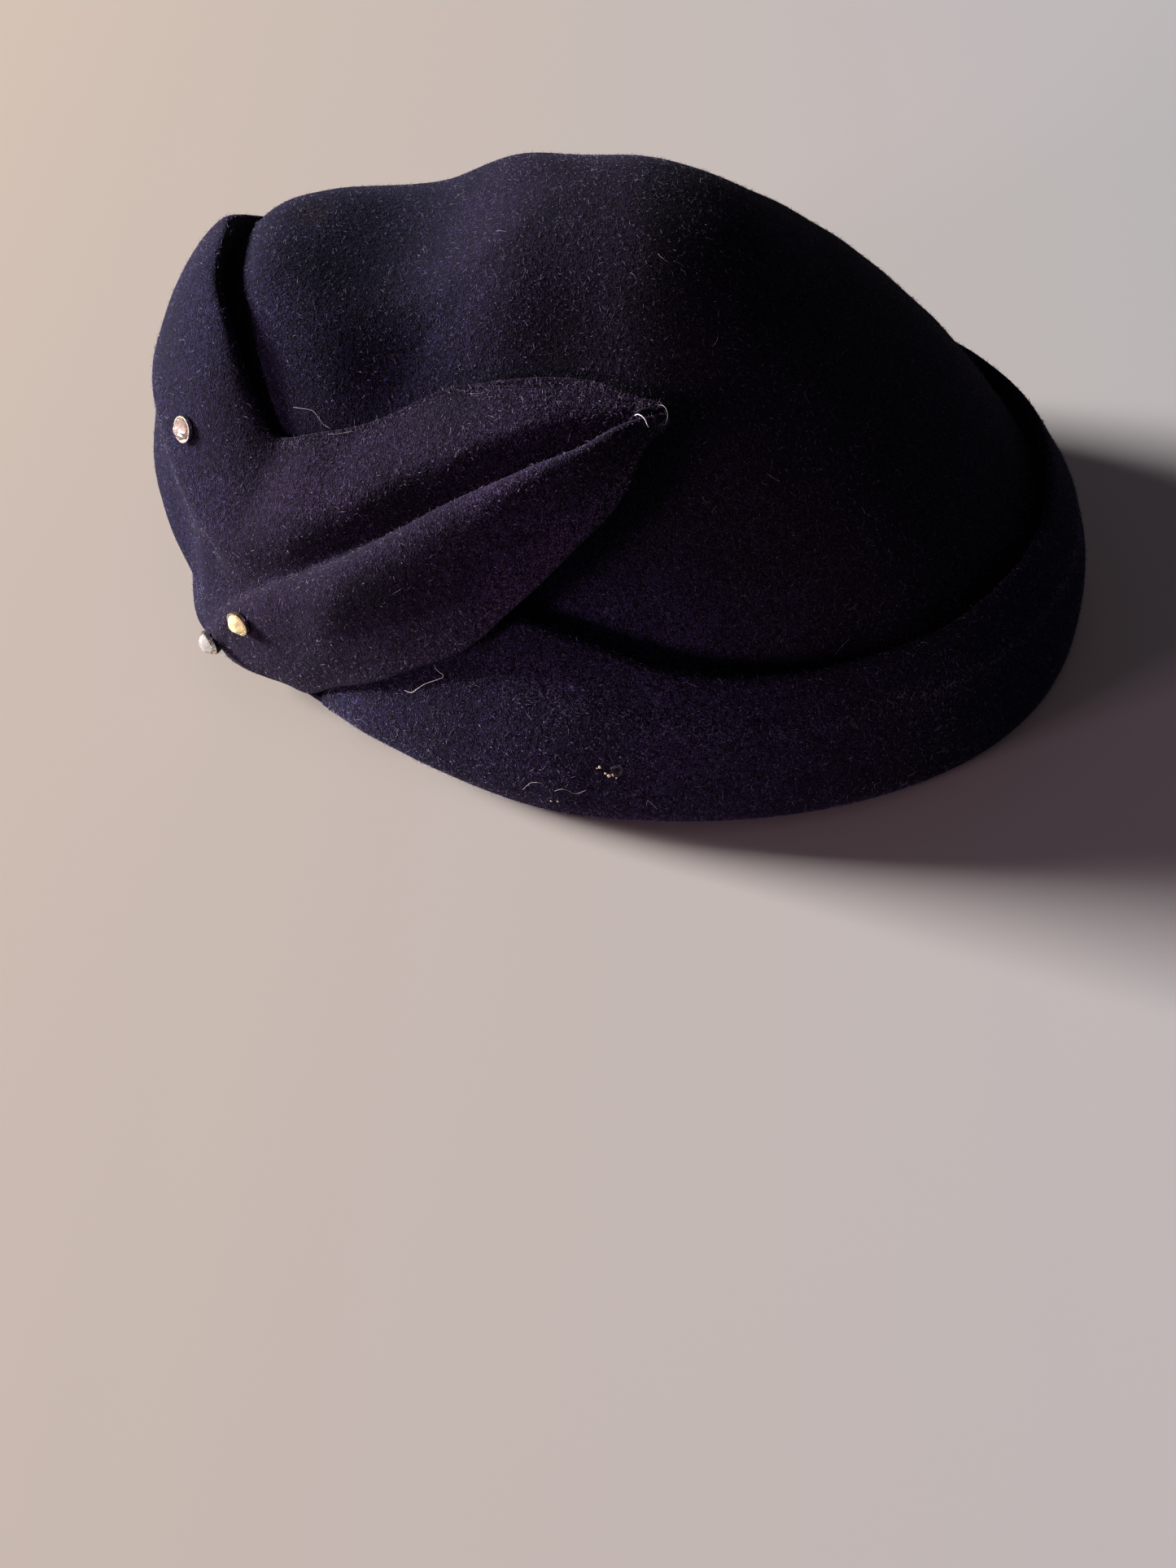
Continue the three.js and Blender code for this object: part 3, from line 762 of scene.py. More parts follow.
@dataclass
class Brim:
    """The strip of felt turned up round the crown, from its start under the leaf, round the back and the
    front, to the leaf's tip."""

    form: HatForm
    edge: RawEdge = field(default_factory=RawEdge)
    face_rows: int = 84
    back_rows: int = 34
    edge_step: float = 0.01
    lower_raw: float = 0.4
    # Strength of the painted fill light on the brim's felt
    painted_fill_light: float = 0.7
    spans: tuple[tuple[float, float, float], ...] = (
        (START_ANGLE, 16, 1.15),
        (16, 60, 0.4),
        (60, TIP_ANGLE, 0.55),
    )

    def angles(self) -> Array:
        """The columns' angles: spans from a first angle to a last one, with finer steps along the leaf."""
        return np.append(np.concatenate([np.arange(*span) for span in self.spans]), TIP_ANGLE)

    def skin(self) -> Skin:
        """The brim's closed skin: sections round the felt's face, raw edge, back and lower edge, along the
        strip, with each end closed."""
        form, wear_and_light, half = self.form, WearAndLight(self.form), self.form.felt / 2
        angle = self.angles()

        def side(shares: Array, sign: float) -> Array:
            """The rows of one side of the felt."""
            a, b = np.meshgrid(angle, shares, indexing="ij")
            return form.brim_middle(a, b) + form.brim_normal(a, b) * half * sign

        def rounded(share: float, step: float) -> Array:
            """The rows round one edge of the felt."""
            ends = np.full(angle.shape, share)
            middle = form.brim_middle(angle, ends)
            out = unit(middle - form.brim_middle(angle, ends - step))
            return self.edge.across(middle, out, form.brim_normal(angle, ends) * np.sign(step), half)

        face = side(np.linspace(0, 1, self.face_rows), 1)
        back = side(np.linspace(1, 0, self.back_rows), -1)
        rings = np.concatenate([face, rounded(1, self.edge_step), back, rounded(0, -self.edge_step)], 1)
        rings[..., 2] = np.maximum(rings[..., 2], form.rim_rise(angle)[:, None])
        skin = Skin.lofted(form.uneven(rings))
        rows = self.edge.rows
        raw = np.repeat([0, 1, 0, self.lower_raw], [self.face_rows, rows, self.back_rows, rows])
        inside = np.arange(len(raw)) >= self.face_rows + rows // 2
        # Painted fill light along the leaf's end
        leaf = np.append(np.repeat(wear_and_light.painted_fill_light_leaf(angle), len(raw)), [0, 0])
        skin.paint = {
            "raw": np.append(np.tile(raw, len(angle)), [1, 1]),
            "inside": np.append(np.tile(inside, len(angle)), [0, 0]),
            # Painted warm light tints the felt, and painted fill light makes it paler on the near side
            "warm": np.append(np.repeat(wear_and_light.brim_warmth(angle), len(raw)), [0, 0]),
            "painted_fill_light": np.maximum(wear_and_light.painted_fill_light(skin.points) * self.painted_fill_light, leaf),
        }
        return skin


# Nap, lint and threads


@dataclass
class Fibres:
    """Short fibres that stand off the felt: slim three-sided spikes, with their sizes in millimetres."""

    seed: int
    length: tuple[float, float] = (0.3, 1.7)
    lift: tuple[float, float] = (0.05, 0.75)
    radius: float = 0.045
    thickness: tuple[float, float] = (0.6, 1.3)
    sunk: float = 0.05
    lowest: float = 0.02

    def skin(self, roots: Array, normals: Array) -> Skin:
        """Fibres on the given places.

        Each axis starts in the felt and goes off along a chance tangent that leans to the normal:
        tip = root + unit(tangent + normal lift) L.

        Args:
            roots: points of shape (n, 3) in millimetres.
            normals: the felt's normals there.

        Returns:
            The fibres' skin, four points to a fibre, with a chance shade for each fibre.
        """
        rng = np.random.default_rng(self.seed)
        n = len(roots)
        spread = rng.normal(size=(n, 3))
        tangent = unit(spread - (spread * normals).sum(-1, keepdims=True) * normals)
        aside = np.cross(normals, tangent)
        lift = rng.uniform(*self.lift, (n, 1))
        lengths = self.length[0] + (self.length[1] - self.length[0]) * rng.random((n, 1)) ** 2
        way = unit(tangent + normals * lift)
        thick = self.radius * rng.uniform(*self.thickness, (n, 1, 1))
        turn = np.arange(3) * 2 * math.pi / 3
        cross = aside[:, None] * np.cos(turn)[:, None] + np.cross(way, aside)[:, None] * np.sin(turn)[:, None]
        low = (roots - normals * self.sunk)[:, None] + cross * thick
        points = np.concatenate([low, (roots + way * lengths)[:, None]], 1).reshape(-1, 3)
        points[:, 2] = np.maximum(points[:, 2], self.lowest)
        first = (np.arange(n) * 4)[:, None, None]
        faces = (np.array([[0, 1, 3], [1, 2, 3], [2, 0, 3], [0, 2, 1]])[None] + first).reshape(-1, 3)
        return Skin(points, [faces], {"shade": np.repeat(rng.random(n) ** 2, 4)})


def chance_tilts(rng: np.random.Generator, low: float, high: float, count: int) -> Array:
    """Chance degrees up the crown, spread evenly over it: their sines are even between low and high."""
    return np.degrees(np.arcsin(rng.uniform(low, high, count)))


@dataclass
class Nap:
    """The fine pile over the crown and the brim, paler where painted fill light falls."""

    form: HatForm
    count: int = 44000
    crown_seeds: tuple[int, int] = (11, 12)
    brim_seeds: tuple[int, int] = (13, 14)
    # How far painted fill light makes the crown's and the brim's fibres paler
    crown_fill_light: float = 0.7
    brim_fill_light: float = 0.6
    # How far painted shade darkens the fibres along the front fold's edge
    painted_fold_shade: float = 0.9

    def crown(self) -> Skin:
        """Fibres over the crown's outside, in chance places."""
        wear_and_light = WearAndLight(self.form)
        rng = np.random.default_rng(self.crown_seeds[0])
        angle = rng.uniform(0, 360, self.count)
        roots, normals = self.form.on_crown(angle, chance_tilts(rng, 0.0, 0.9999, self.count))
        skin = Fibres(self.crown_seeds[1]).skin(roots, normals)
        # Painted fill light makes the fibres paler on the near side
        skin.paint["shade"] **= 1 - self.crown_fill_light * np.repeat(wear_and_light.painted_fill_light(roots), 4)
        # Painted warm light tints the fibres
        skin.paint["warm"] = wear_and_light.crown_warmth(skin.points)
        return skin

    def brim(self) -> Skin:
        """Fibres over the brim's face, in chance places, darkened by painted shade where the front fold turns
        away.
        """
        wear_and_light = WearAndLight(self.form)
        rng = np.random.default_rng(self.brim_seeds[0])
        angle = rng.uniform(*LEAN_ANGLES, self.count)
        across = rng.uniform(0.01, 1.0, self.count)
        roots, normals = self.form.on_brim(angle, across)
        skin = Fibres(self.brim_seeds[1]).skin(roots, normals)
        # Painted shade: darker fibres along the front fold's edge, where they would catch the light
        skin.paint["shade"] *= np.repeat(1 - self.painted_fold_shade * wear_and_light.turned_away(angle, across), 4)
        # Painted fill light makes the fibres paler on the near side
        skin.paint["shade"] **= 1 - self.brim_fill_light * np.repeat(wear_and_light.painted_fill_light(roots), 4)
        # Painted warm light tints the fibres
        skin.paint["warm"] = np.repeat(wear_and_light.brim_warmth(angle), 4)
        return skin


@dataclass
class Lint:
    """The scattered pale fibres that cling to the felt: thin tubes bent in a gentle arc."""

    form: HatForm
    count: int = 240
    seed: int = 21
    length: tuple[float, float] = (0.8, 3.2)
    radius: tuple[float, float] = (0.012, 0.024)
    above: float = 0.10
    hump: float = 0.35
    bend: float = 0.5
    rows: int = 7
    sides: int = 4

    def skin(self) -> Skin:
        """Arcs over the brim and the crown: a root, a chance tangent d and a bend b square to it, with
        r = root + d s + b s^2."""
        rng = np.random.default_rng(self.seed)
        half = self.count // 2
        angle = rng.uniform(*LEAN_ANGLES, half)
        on_brim, brim_normals = self.form.on_brim(angle, rng.uniform(0.05, 0.9, half))
        turn = rng.uniform(0, 360, self.count - half)
        on_crown, crown_normals = self.form.on_crown(turn, chance_tilts(rng, 0.1, 0.99, self.count - half))
        share = np.linspace(0, 1, self.rows)[:, None]
        arcs = []
        for root, normal in zip(np.vstack([on_brim, on_crown]), np.vstack([brim_normals, crown_normals])):
            tangent = unit(np.cross(normal, rng.normal(size=3)))
            aside = np.cross(normal, tangent)
            length = rng.uniform(*self.length)
            hump = normal * (self.above + self.hump * rng.random() * np.sin(share * math.pi))
            bend = aside * share**2 * length * rng.normal(0, self.bend)
            path = root + hump + tangent * share * length + bend
            radii = np.full(self.rows, rng.uniform(*self.radius))
            arcs.append(tube(path, radii, self.sides).evenly(shade=rng.random()))
        return Skin.gathered(arcs)


class Ground(Enum):
    """The felt that a thread lies on."""

    BRIM = "brim"
    CROWN = "crown"


@dataclass(frozen=True)
class Strand:
    """One thread: its places (degrees from the front, share across the brim or degrees up the crown, and
    millimetres above the felt), the steps along it, its share of the full thickness, and its shade."""

    places: Route
    steps: int
    thickness: float
    shade: float
    ground: Ground = Ground.BRIM


@dataclass
class Threads:
    """Sewing thread and long fibres that show: the tack at the leaf's tip and loose ends on the felt."""

    form: HatForm
    radius: float = 0.062
    sides: int = 6
    thin_end: float = 0.55
    taper: float = 0.06

    def thread(self, strand: Strand) -> Skin:
        """A thread along its smooth path, thinner at its two ends."""
        ground = self.form.on_brim if strand.ground is Ground.BRIM else self.form.on_crown
        path = ground(*through(strand.places, strand.steps))[0]
        share = np.linspace(0, 1, strand.steps)
        full = ease(share / self.taper) * ease((1 - share) / self.taper)
        radii = self.radius * strand.thickness * mix(self.thin_end, 1.0, full)
        return tube(path, radii, self.sides).evenly(shade=strand.shade)

    def skin(self) -> Skin:
        """The tack's white end and its pale loop round the knot, the hooked thread on the roll, the fibre
        that crosses the leaf's upper edge, and three fibres low on the roll."""
        end = [(89.2, 0.42, 0.5), (89.7, 0.36, 0.9), (90.3, 0.30, 0.6)]
        loop = [(92.4, 0.42, 0.9), (93.3, 0.50, 1.5), (93.7, 0.40, 1.6), (93.0, 0.30, 1.0), (92.3, 0.15, 0.5)]
        hook = [(-297.4, 0.78, 0.5), (-296.8, 0.757, 1.0), (-295.7, 0.72, 1.2), (-295.6, 0.69, 1.1)]
        hook += [(-296.6, 0.66, 0.9), (-297.6, 0.63, 0.7), (-298.6, 0.58, 0.5), (-299.3, 0.545, 0.3)]
        hook += [(-300.2, 0.58, 0.4)]
        fibre = [(34.2, 39.4, 0.2), (35.5, 40.1, 0.5), (37.0, 40.8, 0.4), (38.1, 40.7, 0.7)]
        fibre += [(38.9, 40.4, 0.5), (40.0, 40.5, 0.6)]
        over_edge = [(40.4, 0.98, 0.5), (41.6, 0.96, 0.35), (43.2, 0.92, 0.15)]
        low = [(-280.9, 0.245, 0.1), (-280.0, 0.265, 0.3), (-279.2, 0.262, 0.2), (-278.4, 0.258, 0.3)]
        low += [(-277.2, 0.28, 0.1)]
        low_behind = [(-284.6, 0.205, 0.1), (-283.7, 0.25, 0.3), (-283.0, 0.262, 0.25), (-282.3, 0.264, 0.1)]
        low_before = [(-269.4, 0.232, 0.1), (-269.9, 0.262, 0.4), (-270.5, 0.275, 0.2), (-270.6, 0.25, 0.1)]
        strands = [
            Strand(end, 16, 1.5, 1.0),
            Strand(loop, 40, 0.6, 0.3),
            Strand(hook, 80, 0.95, 0.85),
            Strand(fibre, 50, 0.42, 0.8, Ground.CROWN),
            Strand(over_edge, 20, 0.38, 0.7),
        ]
        strands += [Strand(places, 30, 0.5, 0.7) for places in (low, low_behind, low_before)]
        return Skin.gathered([self.thread(strand) for strand in strands])


@dataclass
class TipKnot:
    """The leaf's tip, pinched and twisted to a small hard knot where it is tacked to the crown."""

    form: HatForm
    radius: float = 1.15
    steps: int = 36
    sides: int = 20
    ridges: int = 3
    ridge_height: float = 0.16
    twist: float = 5.0
    slim_end: float = 0.35
    full_from: float = 0.45
    end_taper: float = 0.16
    raw: float = 0.35

    def skin(self) -> Skin:
        """A short tube of felt with winding ridges, narrow at both ends:
        r = r0 (1 + height cos(ridges turn + twist share))."""
        places = [(86.5, 0.42, -0.9), (88.6, 0.41, -0.2), (90.3, 0.41, 0.3)]
        places += [(92.0, 0.43, 0.5), (93.4, 0.47, 0.5), (94.4, 0.5, 0.2)]
        path = self.form.on_brim(*through(places, self.steps))[0]
        share = np.linspace(0, 1, self.steps)[:, None]
        turn = np.linspace(0, 2 * math.pi, self.sides, endpoint=False)[None]
        full = ease(share / self.full_from) * ease((1 - share) / self.end_taper)
        body = mix(self.slim_end, 1.0, full)
        ridged = 1 + self.ridge_height * np.cos(self.ridges * turn + self.twist * share)
        # The knot takes the full painted warm light
        return tube(path, self.radius * body * ridged, self.sides).evenly(raw=self.raw, inside=0.0, warm=1.0)


@dataclass
class LostStone:
    """The mark of a lost stone on the roll: a torn pit in the felt with crumbs of old glue beside it.

    The pit's profile goes from its underside to its middle, as shares of the radius and heights in millimetres.
    The crumbs are given by degrees from the front, share of the felt's width, and radius.
    """

    form: HatForm
    angle: float = -274.0
    across: float = 0.372
    above: float = 0.02
    radius: float = 1.15
    sides: int = 28
    profile: tuple[tuple[float, float], ...] = (
        (0.6, -0.4),
        (1.12, -0.25),
        (1.05, 0.22),
        (0.95, 0.28),
        (0.8, 0.12),
        (0.55, -0.02),
        (0.25, -0.1),
    )
    crumb_spots: Route = (
        (-274.9, 0.348, 0.42),
        (-274.5, 0.352, 0.30),
        (-275.3, 0.352, 0.26),
        (-274.1, 0.345, 0.2),
        (-276.0, 0.368, 0.34),
        (-276.3, 0.362, 0.18),
        (-281.2, 0.188, 0.22),
        (-280.4, 0.197, 0.24),
    )
    seed: int = 31
    length: tuple[float, float] = (0.8, 1.3)
    lumpiness: tuple[float, float] = (0.75, 1.2)
    shade: tuple[float, float] = (0.6, 1.0)
    flatness: float = 0.55
    lift: float = 0.25
    pole_turn: float = 0.25
    rows: int = 7
    columns: int = 10

    def pit(self) -> Skin:
        """The pit: a thin dished disc with a torn rim, whose radius is R times 1 + 0.16 sin(3 turn + 1) +
        0.10 sin(7 turn)."""
        centre, normal = self.form.on_brim(self.angle, self.across, self.above)
        side = unit(np.cross(normal, [0, 0, 1]))
        upward = np.cross(side, normal)
        turn = np.linspace(0, 2 * math.pi, self.sides, endpoint=False)
        torn = self.radius * (1 + 0.16 * np.sin(3 * turn + 1) + 0.10 * np.sin(7 * turn))
        spoke = side * np.cos(turn)[:, None] + upward * np.sin(turn)[:, None]
        rings = np.array([centre + spoke * (torn * out)[:, None] + normal * up for out, up in self.profile])
        poles = (centre + normal * self.profile[0][1], centre + normal * self.profile[-1][1])
        # The pit's near-black finish is painted shade of the hollow
        return Skin.lofted(rings, poles).evenly(shade=0.15)

    def crumbs(self) -> Skin:
        """Crumbs of glue and two flakes of glitter: small lumpy balls, each pressed flat against the felt."""
        rng = np.random.default_rng(self.seed)
        down = np.linspace(self.pole_turn, math.pi - self.pole_turn, self.rows)
        turn = np.linspace(0, 2 * math.pi, self.columns, endpoint=False)
        u, v = np.meshgrid(down, turn, indexing="ij")
        ball = np.stack([np.sin(u) * np.cos(v), np.sin(u) * np.sin(v), -np.cos(u)], -1)
        lumps = []
        for angle, across, size in self.crumb_spots:
            centre, normal = self.form.on_brim(angle, across, size * self.lift)
            side = unit(np.cross(normal, rng.normal(size=3)))
            long_side = side * rng.uniform(*self.length)
            axes = np.stack([long_side, np.cross(normal, side), normal * self.flatness])
            lumpy = ball * rng.uniform(*self.lumpiness, (*u.shape, 1))
            lump = Skin.lofted(centre + lumpy @ axes * size).turned_out()
            lumps.append(lump.evenly(shade=rng.uniform(*self.shade)))
        return Skin.gathered(lumps)


# Finishes


class Wiring:
    """A material's or group's nodes, made and linked by short calls."""

    def __init__(self, tree: Nodes) -> None:
        """Start on a tree of nodes."""
        self.tree = tree

    def feed(self, node: bpy.types.Node, inputs: Inputs) -> bpy.types.Node:
        """Link each named input of a node to a socket, or set it to a value."""
        for key, value in inputs.items():
            if isinstance(value, Socket):
                self.tree.links.new(value, node.inputs[key])
            else:
                node.inputs[key].default_value = value
        return node

    def add(self, kind: str, inputs: Inputs | None = None, **settings: object) -> bpy.types.Node:
        """A node of this kind.

        Args:
            kind: the node's type.
            inputs: values or sockets by the inputs' names or places.
            settings: the node's own settings.

        Returns:
            The node.
        """
        node = self.tree.nodes.new(kind)
        for key, value in settings.items():
            setattr(node, key, value)
        return self.feed(node, inputs or {})

    def math(self, operation: str, a: object, b: object, clamp: bool = False) -> Socket:
        """The result of a Math node on two numbers or sockets."""
        return self.add("ShaderNodeMath", {0: a, 1: b}, operation=operation, use_clamp=clamp).outputs[0]

    def times(self, a: object, b: object, clamp: bool = False) -> Socket:
        """The product of two numbers or sockets."""
        return self.math("MULTIPLY", a, b, clamp)

    def plus(self, a: object, b: object) -> Socket:
        """The sum of two numbers or sockets."""
        return self.math("ADD", a, b)

    def mixed(self, share: object, a: Socket | Colour, b: Socket | Colour) -> Socket:
        """The colour mixed from a to b by a share."""
        first, second = ((*one, 1) if isinstance(one, tuple) else one for one in (a, b))
        return self.add("ShaderNodeMix", {0: share, 6: first, 7: second}, data_type="RGBA").outputs[2]

    def ranged(self, value: Socket, low: float, high: float, least: float = 0.0, most: float = 1.0) -> Socket:
        """The value mapped smoothly from one range to another."""
        inputs = {"Value": value, "From Min": low, "From Max": high, "To Min": least, "To Max": most}
        return self.add("ShaderNodeMapRange", inputs, interpolation_type="SMOOTHSTEP").outputs["Result"]

    def noise(self, vector: Socket, scale: float, detail: float, roughness: float = 0.5) -> Socket:
        """The value of a noise texture."""
        inputs = {"Vector": vector, "Scale": scale, "Detail": detail, "Roughness": roughness}
        return self.add("ShaderNodeTexNoise", inputs).outputs["Fac"]

    def bump(self, strength: float, distance: float, height: Socket) -> Socket:
        """The normal of a bump, with its distance in metres."""
        inputs = {"Strength": strength, "Distance": distance, "Height": height}
        return self.add("ShaderNodeBump", inputs).outputs["Normal"]

    def attribute(self, name: str) -> Socket:
        """A painted value of the piece."""
        return self.add("ShaderNodeAttribute", attribute_name=name).outputs["Fac"]

    def place(self) -> Socket:
        """The Object coordinates."""
        return self.add("ShaderNodeTexCoord").outputs["Object"]


def nap_group() -> Nodes:
    """The felt's pile as a group: ridged noise for the curled fibres, fine noise for their ends and broad
    noise for paler patches, put out as a tone, a patch and a height.

    Returns:
        The group, with inputs Vector, Size and Patches, and outputs Tone, Patch and Height.
    """
    group = bpy.data.node_groups.new("felt_nap", "ShaderNodeTree")
    face = group.interface
    face.new_socket("Vector", in_out="INPUT", socket_type="NodeSocketVector")
    for name in ("Size", "Patches"):
        face.new_socket(name, in_out="INPUT", socket_type="NodeSocketFloat").default_value = 1.0
    for name in ("Tone", "Patch", "Height"):
        face.new_socket(name, in_out="OUTPUT", socket_type="NodeSocketFloat")
    w = Wiring(group)
    given = w.add("NodeGroupInput").outputs
    sized = w.add("ShaderNodeVectorMath", {0: given["Vector"], "Scale": given["Size"]}, operation="SCALE")
    vector = sized.outputs[0]
    warp = w.add("ShaderNodeTexNoise", {"Vector": vector, "Scale": 1300.0, "Detail": 1.0}).outputs["Color"]
    moved = w.add("ShaderNodeVectorMath", {0: warp, 1: (0.0006,) * 3, 2: vector}, operation="MULTIPLY_ADD")
    curls = w.add(
        "ShaderNodeTexNoise",
        {"Vector": moved.outputs[0], "Scale": 1700.0, "Detail": 2.0, "Roughness": 0.62},
        noise_type="RIDGED_MULTIFRACTAL",
        normalize=True,
    )
    curl = w.ranged(curls.outputs["Fac"], 0.45, 0.9)
    end = w.ranged(w.noise(vector, 2900.0, 1.0, 0.6), 0.45, 0.68)
    clump = w.ranged(w.noise(vector, 900.0, 2.0), 0.38, 0.66)
    broad = w.ranged(w.noise(vector, 60.0, 3.0, 0.55), 0.3, 0.7)
    tone = w.plus(w.times(curl, 0.45), w.plus(w.times(end, 0.43), w.times(clump, 0.12)))
    patch = w.times(broad, given["Patches"])
    w.add("NodeGroupOutput", {"Tone": tone, "Patch": patch, "Height": tone})
    return group


@dataclass(frozen=True)
class Finish:
    """A finish: one Principled shader and what feeds it."""

    name: str

    def inputs(self, w: Wiring) -> Inputs:
        """The shader's inputs by name."""
        raise NotImplementedError

    def material(self) -> bpy.types.Material:
        """The finish as a material."""
        made = bpy.data.materials.new(self.name)
        made.use_nodes = True
        w = Wiring(made.node_tree)
        w.feed(made.node_tree.nodes["Principled BSDF"], self.inputs(w))
        return made


@dataclass(frozen=True)
class FeltFinish(Finish):
    """Fur felt: dark aubergine navy with a fine nap, paler at its cut edges and smoother inside."""

    nap: Nodes
    # The first colour is the pile's under painted warm light
    warm_lit: Colour = (0.0660, 0.0400, 0.1000)
    deep: Colour = (0.0012, 0.0008, 0.0022)
    pile: Colour = (0.0500, 0.0460, 0.1300)
    cut: Colour = (0.0560, 0.0480, 0.0720)
    lining: Colour = (0.0230, 0.0190, 0.0330)
    rubbed: Colour = (0.0200, 0.0130, 0.0110)
    sheen: Colour = (0.55, 0.45, 1.0)
    bump_strength: float = 1.2
    bump_height: float = 0.0009

    def inputs(self, w: Wiring) -> Inputs:
        """The pile's tone and patches, raised by painted fill light, mix the deep colour and the pile's, which
        painted warm light tints; the painted values mix in the lining, the cut edge and the rub."""
        given = {"Vector": w.place(), "Size": 1.0, "Patches": 1.0}
        pile = w.add("ShaderNodeGroup", given, node_tree=self.nap).outputs
        share = w.times(pile["Tone"], w.plus(0.75, w.times(pile["Patch"], 0.5)), clamp=True)
        # Painted fill light raises the pile's tone on the near side
        share = w.times(share, w.plus(1.0, w.attribute("painted_fill_light")), clamp=True)
        # Painted warm light tints the pile towards aubergine
        colour = w.mixed(share, self.deep, w.mixed(w.attribute("warm"), self.pile, self.warm_lit))
        colour = w.mixed(w.times(w.attribute("inside"), 0.5), colour, self.lining)
        colour = w.mixed(w.times(w.attribute("raw"), w.plus(0.08, w.times(share, 0.4))), colour, self.cut)
        colour = w.mixed(w.times(w.attribute("stain"), 0.65), colour, self.rubbed)
        return {
            "Base Color": colour,
            "Normal": w.bump(self.bump_strength, self.bump_height, pile["Height"]),
            "Roughness": 1.0,
            "Specular IOR Level": 0.12,
            "Sheen Weight": 0.03,
            "Sheen Roughness": 0.45,
            "Sheen Tint": (*self.sheen, 1),
        }


@dataclass(frozen=True)
class StrandFinish(Finish):
    """Fibre or thread whose shade runs from dark to pale by the fibre's own chance value, and whose pale end
    goes over to a colour of painted warm light with the felt."""

    dark: Colour
    pale: Colour
    warm_lit: Colour | None = None
    roughness: float = 0.8
    sheen: float = 0.2

    def inputs(self, w: Wiring) -> Inputs:
        """The colour by the painted shade, a little uneven along the fibre."""
        along = w.ranged(w.noise(w.place(), 1800.0, 1.0), 0.2, 0.8, 0.6, 1.0)
        # Painted warm light tints the pale end
        pale = w.mixed(w.attribute("warm"), self.pale, self.warm_lit or self.pale)
        return {
            "Base Color": w.mixed(w.times(w.attribute("shade"), along), self.dark, pale),
            "Roughness": self.roughness,
            "Sheen Weight": self.sheen,
        }


@dataclass(frozen=True)
class FoilFinish(Finish):
    """Thin metal foil, finely crinkled and a little tarnished."""

    colour: Colour = (0.86, 0.82, 0.74)
    tarnish: Colour = (0.45, 0.37, 0.24)
    roughness: float = 0.16
    bump_strength: float = 0.35
    bump_height: float = 0.00008

    def inputs(self, w: Wiring) -> Inputs:
        """Noise for the tarnish, and small cells for the crinkles."""
        worn = w.ranged(w.noise(w.place(), 700.0, 3.0), 0.5, 0.75)
        crinkle = w.add("ShaderNodeTexVoronoi", {"Vector": w.place(), "Scale": 2200.0})
        return {
            "Base Color": w.mixed(worn, self.colour, self.tarnish),
            "Roughness": w.plus(self.roughness, w.times(worn, 0.3)),
            "Normal": w.bump(self.bump_strength, self.bump_height, crinkle.outputs["Distance"]),
            "Metallic": 1.0,
        }


@dataclass(frozen=True)
class StoneFinish(Finish):
    """Clear cut stone, tinted, with faint scuffs on its facets."""

    colour: Colour = (0.84, 0.72, 0.66)
    clearness: float = 0.88
    ior: float = 1.62

    def inputs(self, w: Wiring) -> Inputs:
        """Glass whose roughness rises a little in fine scuffs."""
        return {
            "Roughness": w.ranged(w.noise(w.place(), 1500.0, 4.0), 0.55, 0.8, 0.01, 0.12),
            "Base Color": (*self.colour, 1),
            "Transmission Weight": self.clearness,
            "IOR": self.ior,
        }


@dataclass(frozen=True)
class FloorFinish(Finish):
    """Matt pale board whose colour paints the light: warmer towards the window light, cooler away from it."""

    # Painted light: warmer towards the window light, cooler away from it
    warm: Colour = (0.36, 0.305, 0.26)
    cool: Colour = (0.42, 0.41, 0.42)

    def inputs(self, w: Wiring) -> Inputs:
        """A smooth blend of the painted light's tints along the hat's length."""
        along = w.add("ShaderNodeSeparateXYZ", {0: w.place()}).outputs["Y"]
        return {
            "Base Color": w.mixed(w.ranged(along, -0.25, 0.3), self.warm, self.cool),
            "Roughness": 0.9,
            "Specular IOR Level": 0.2,
        }


# The hat


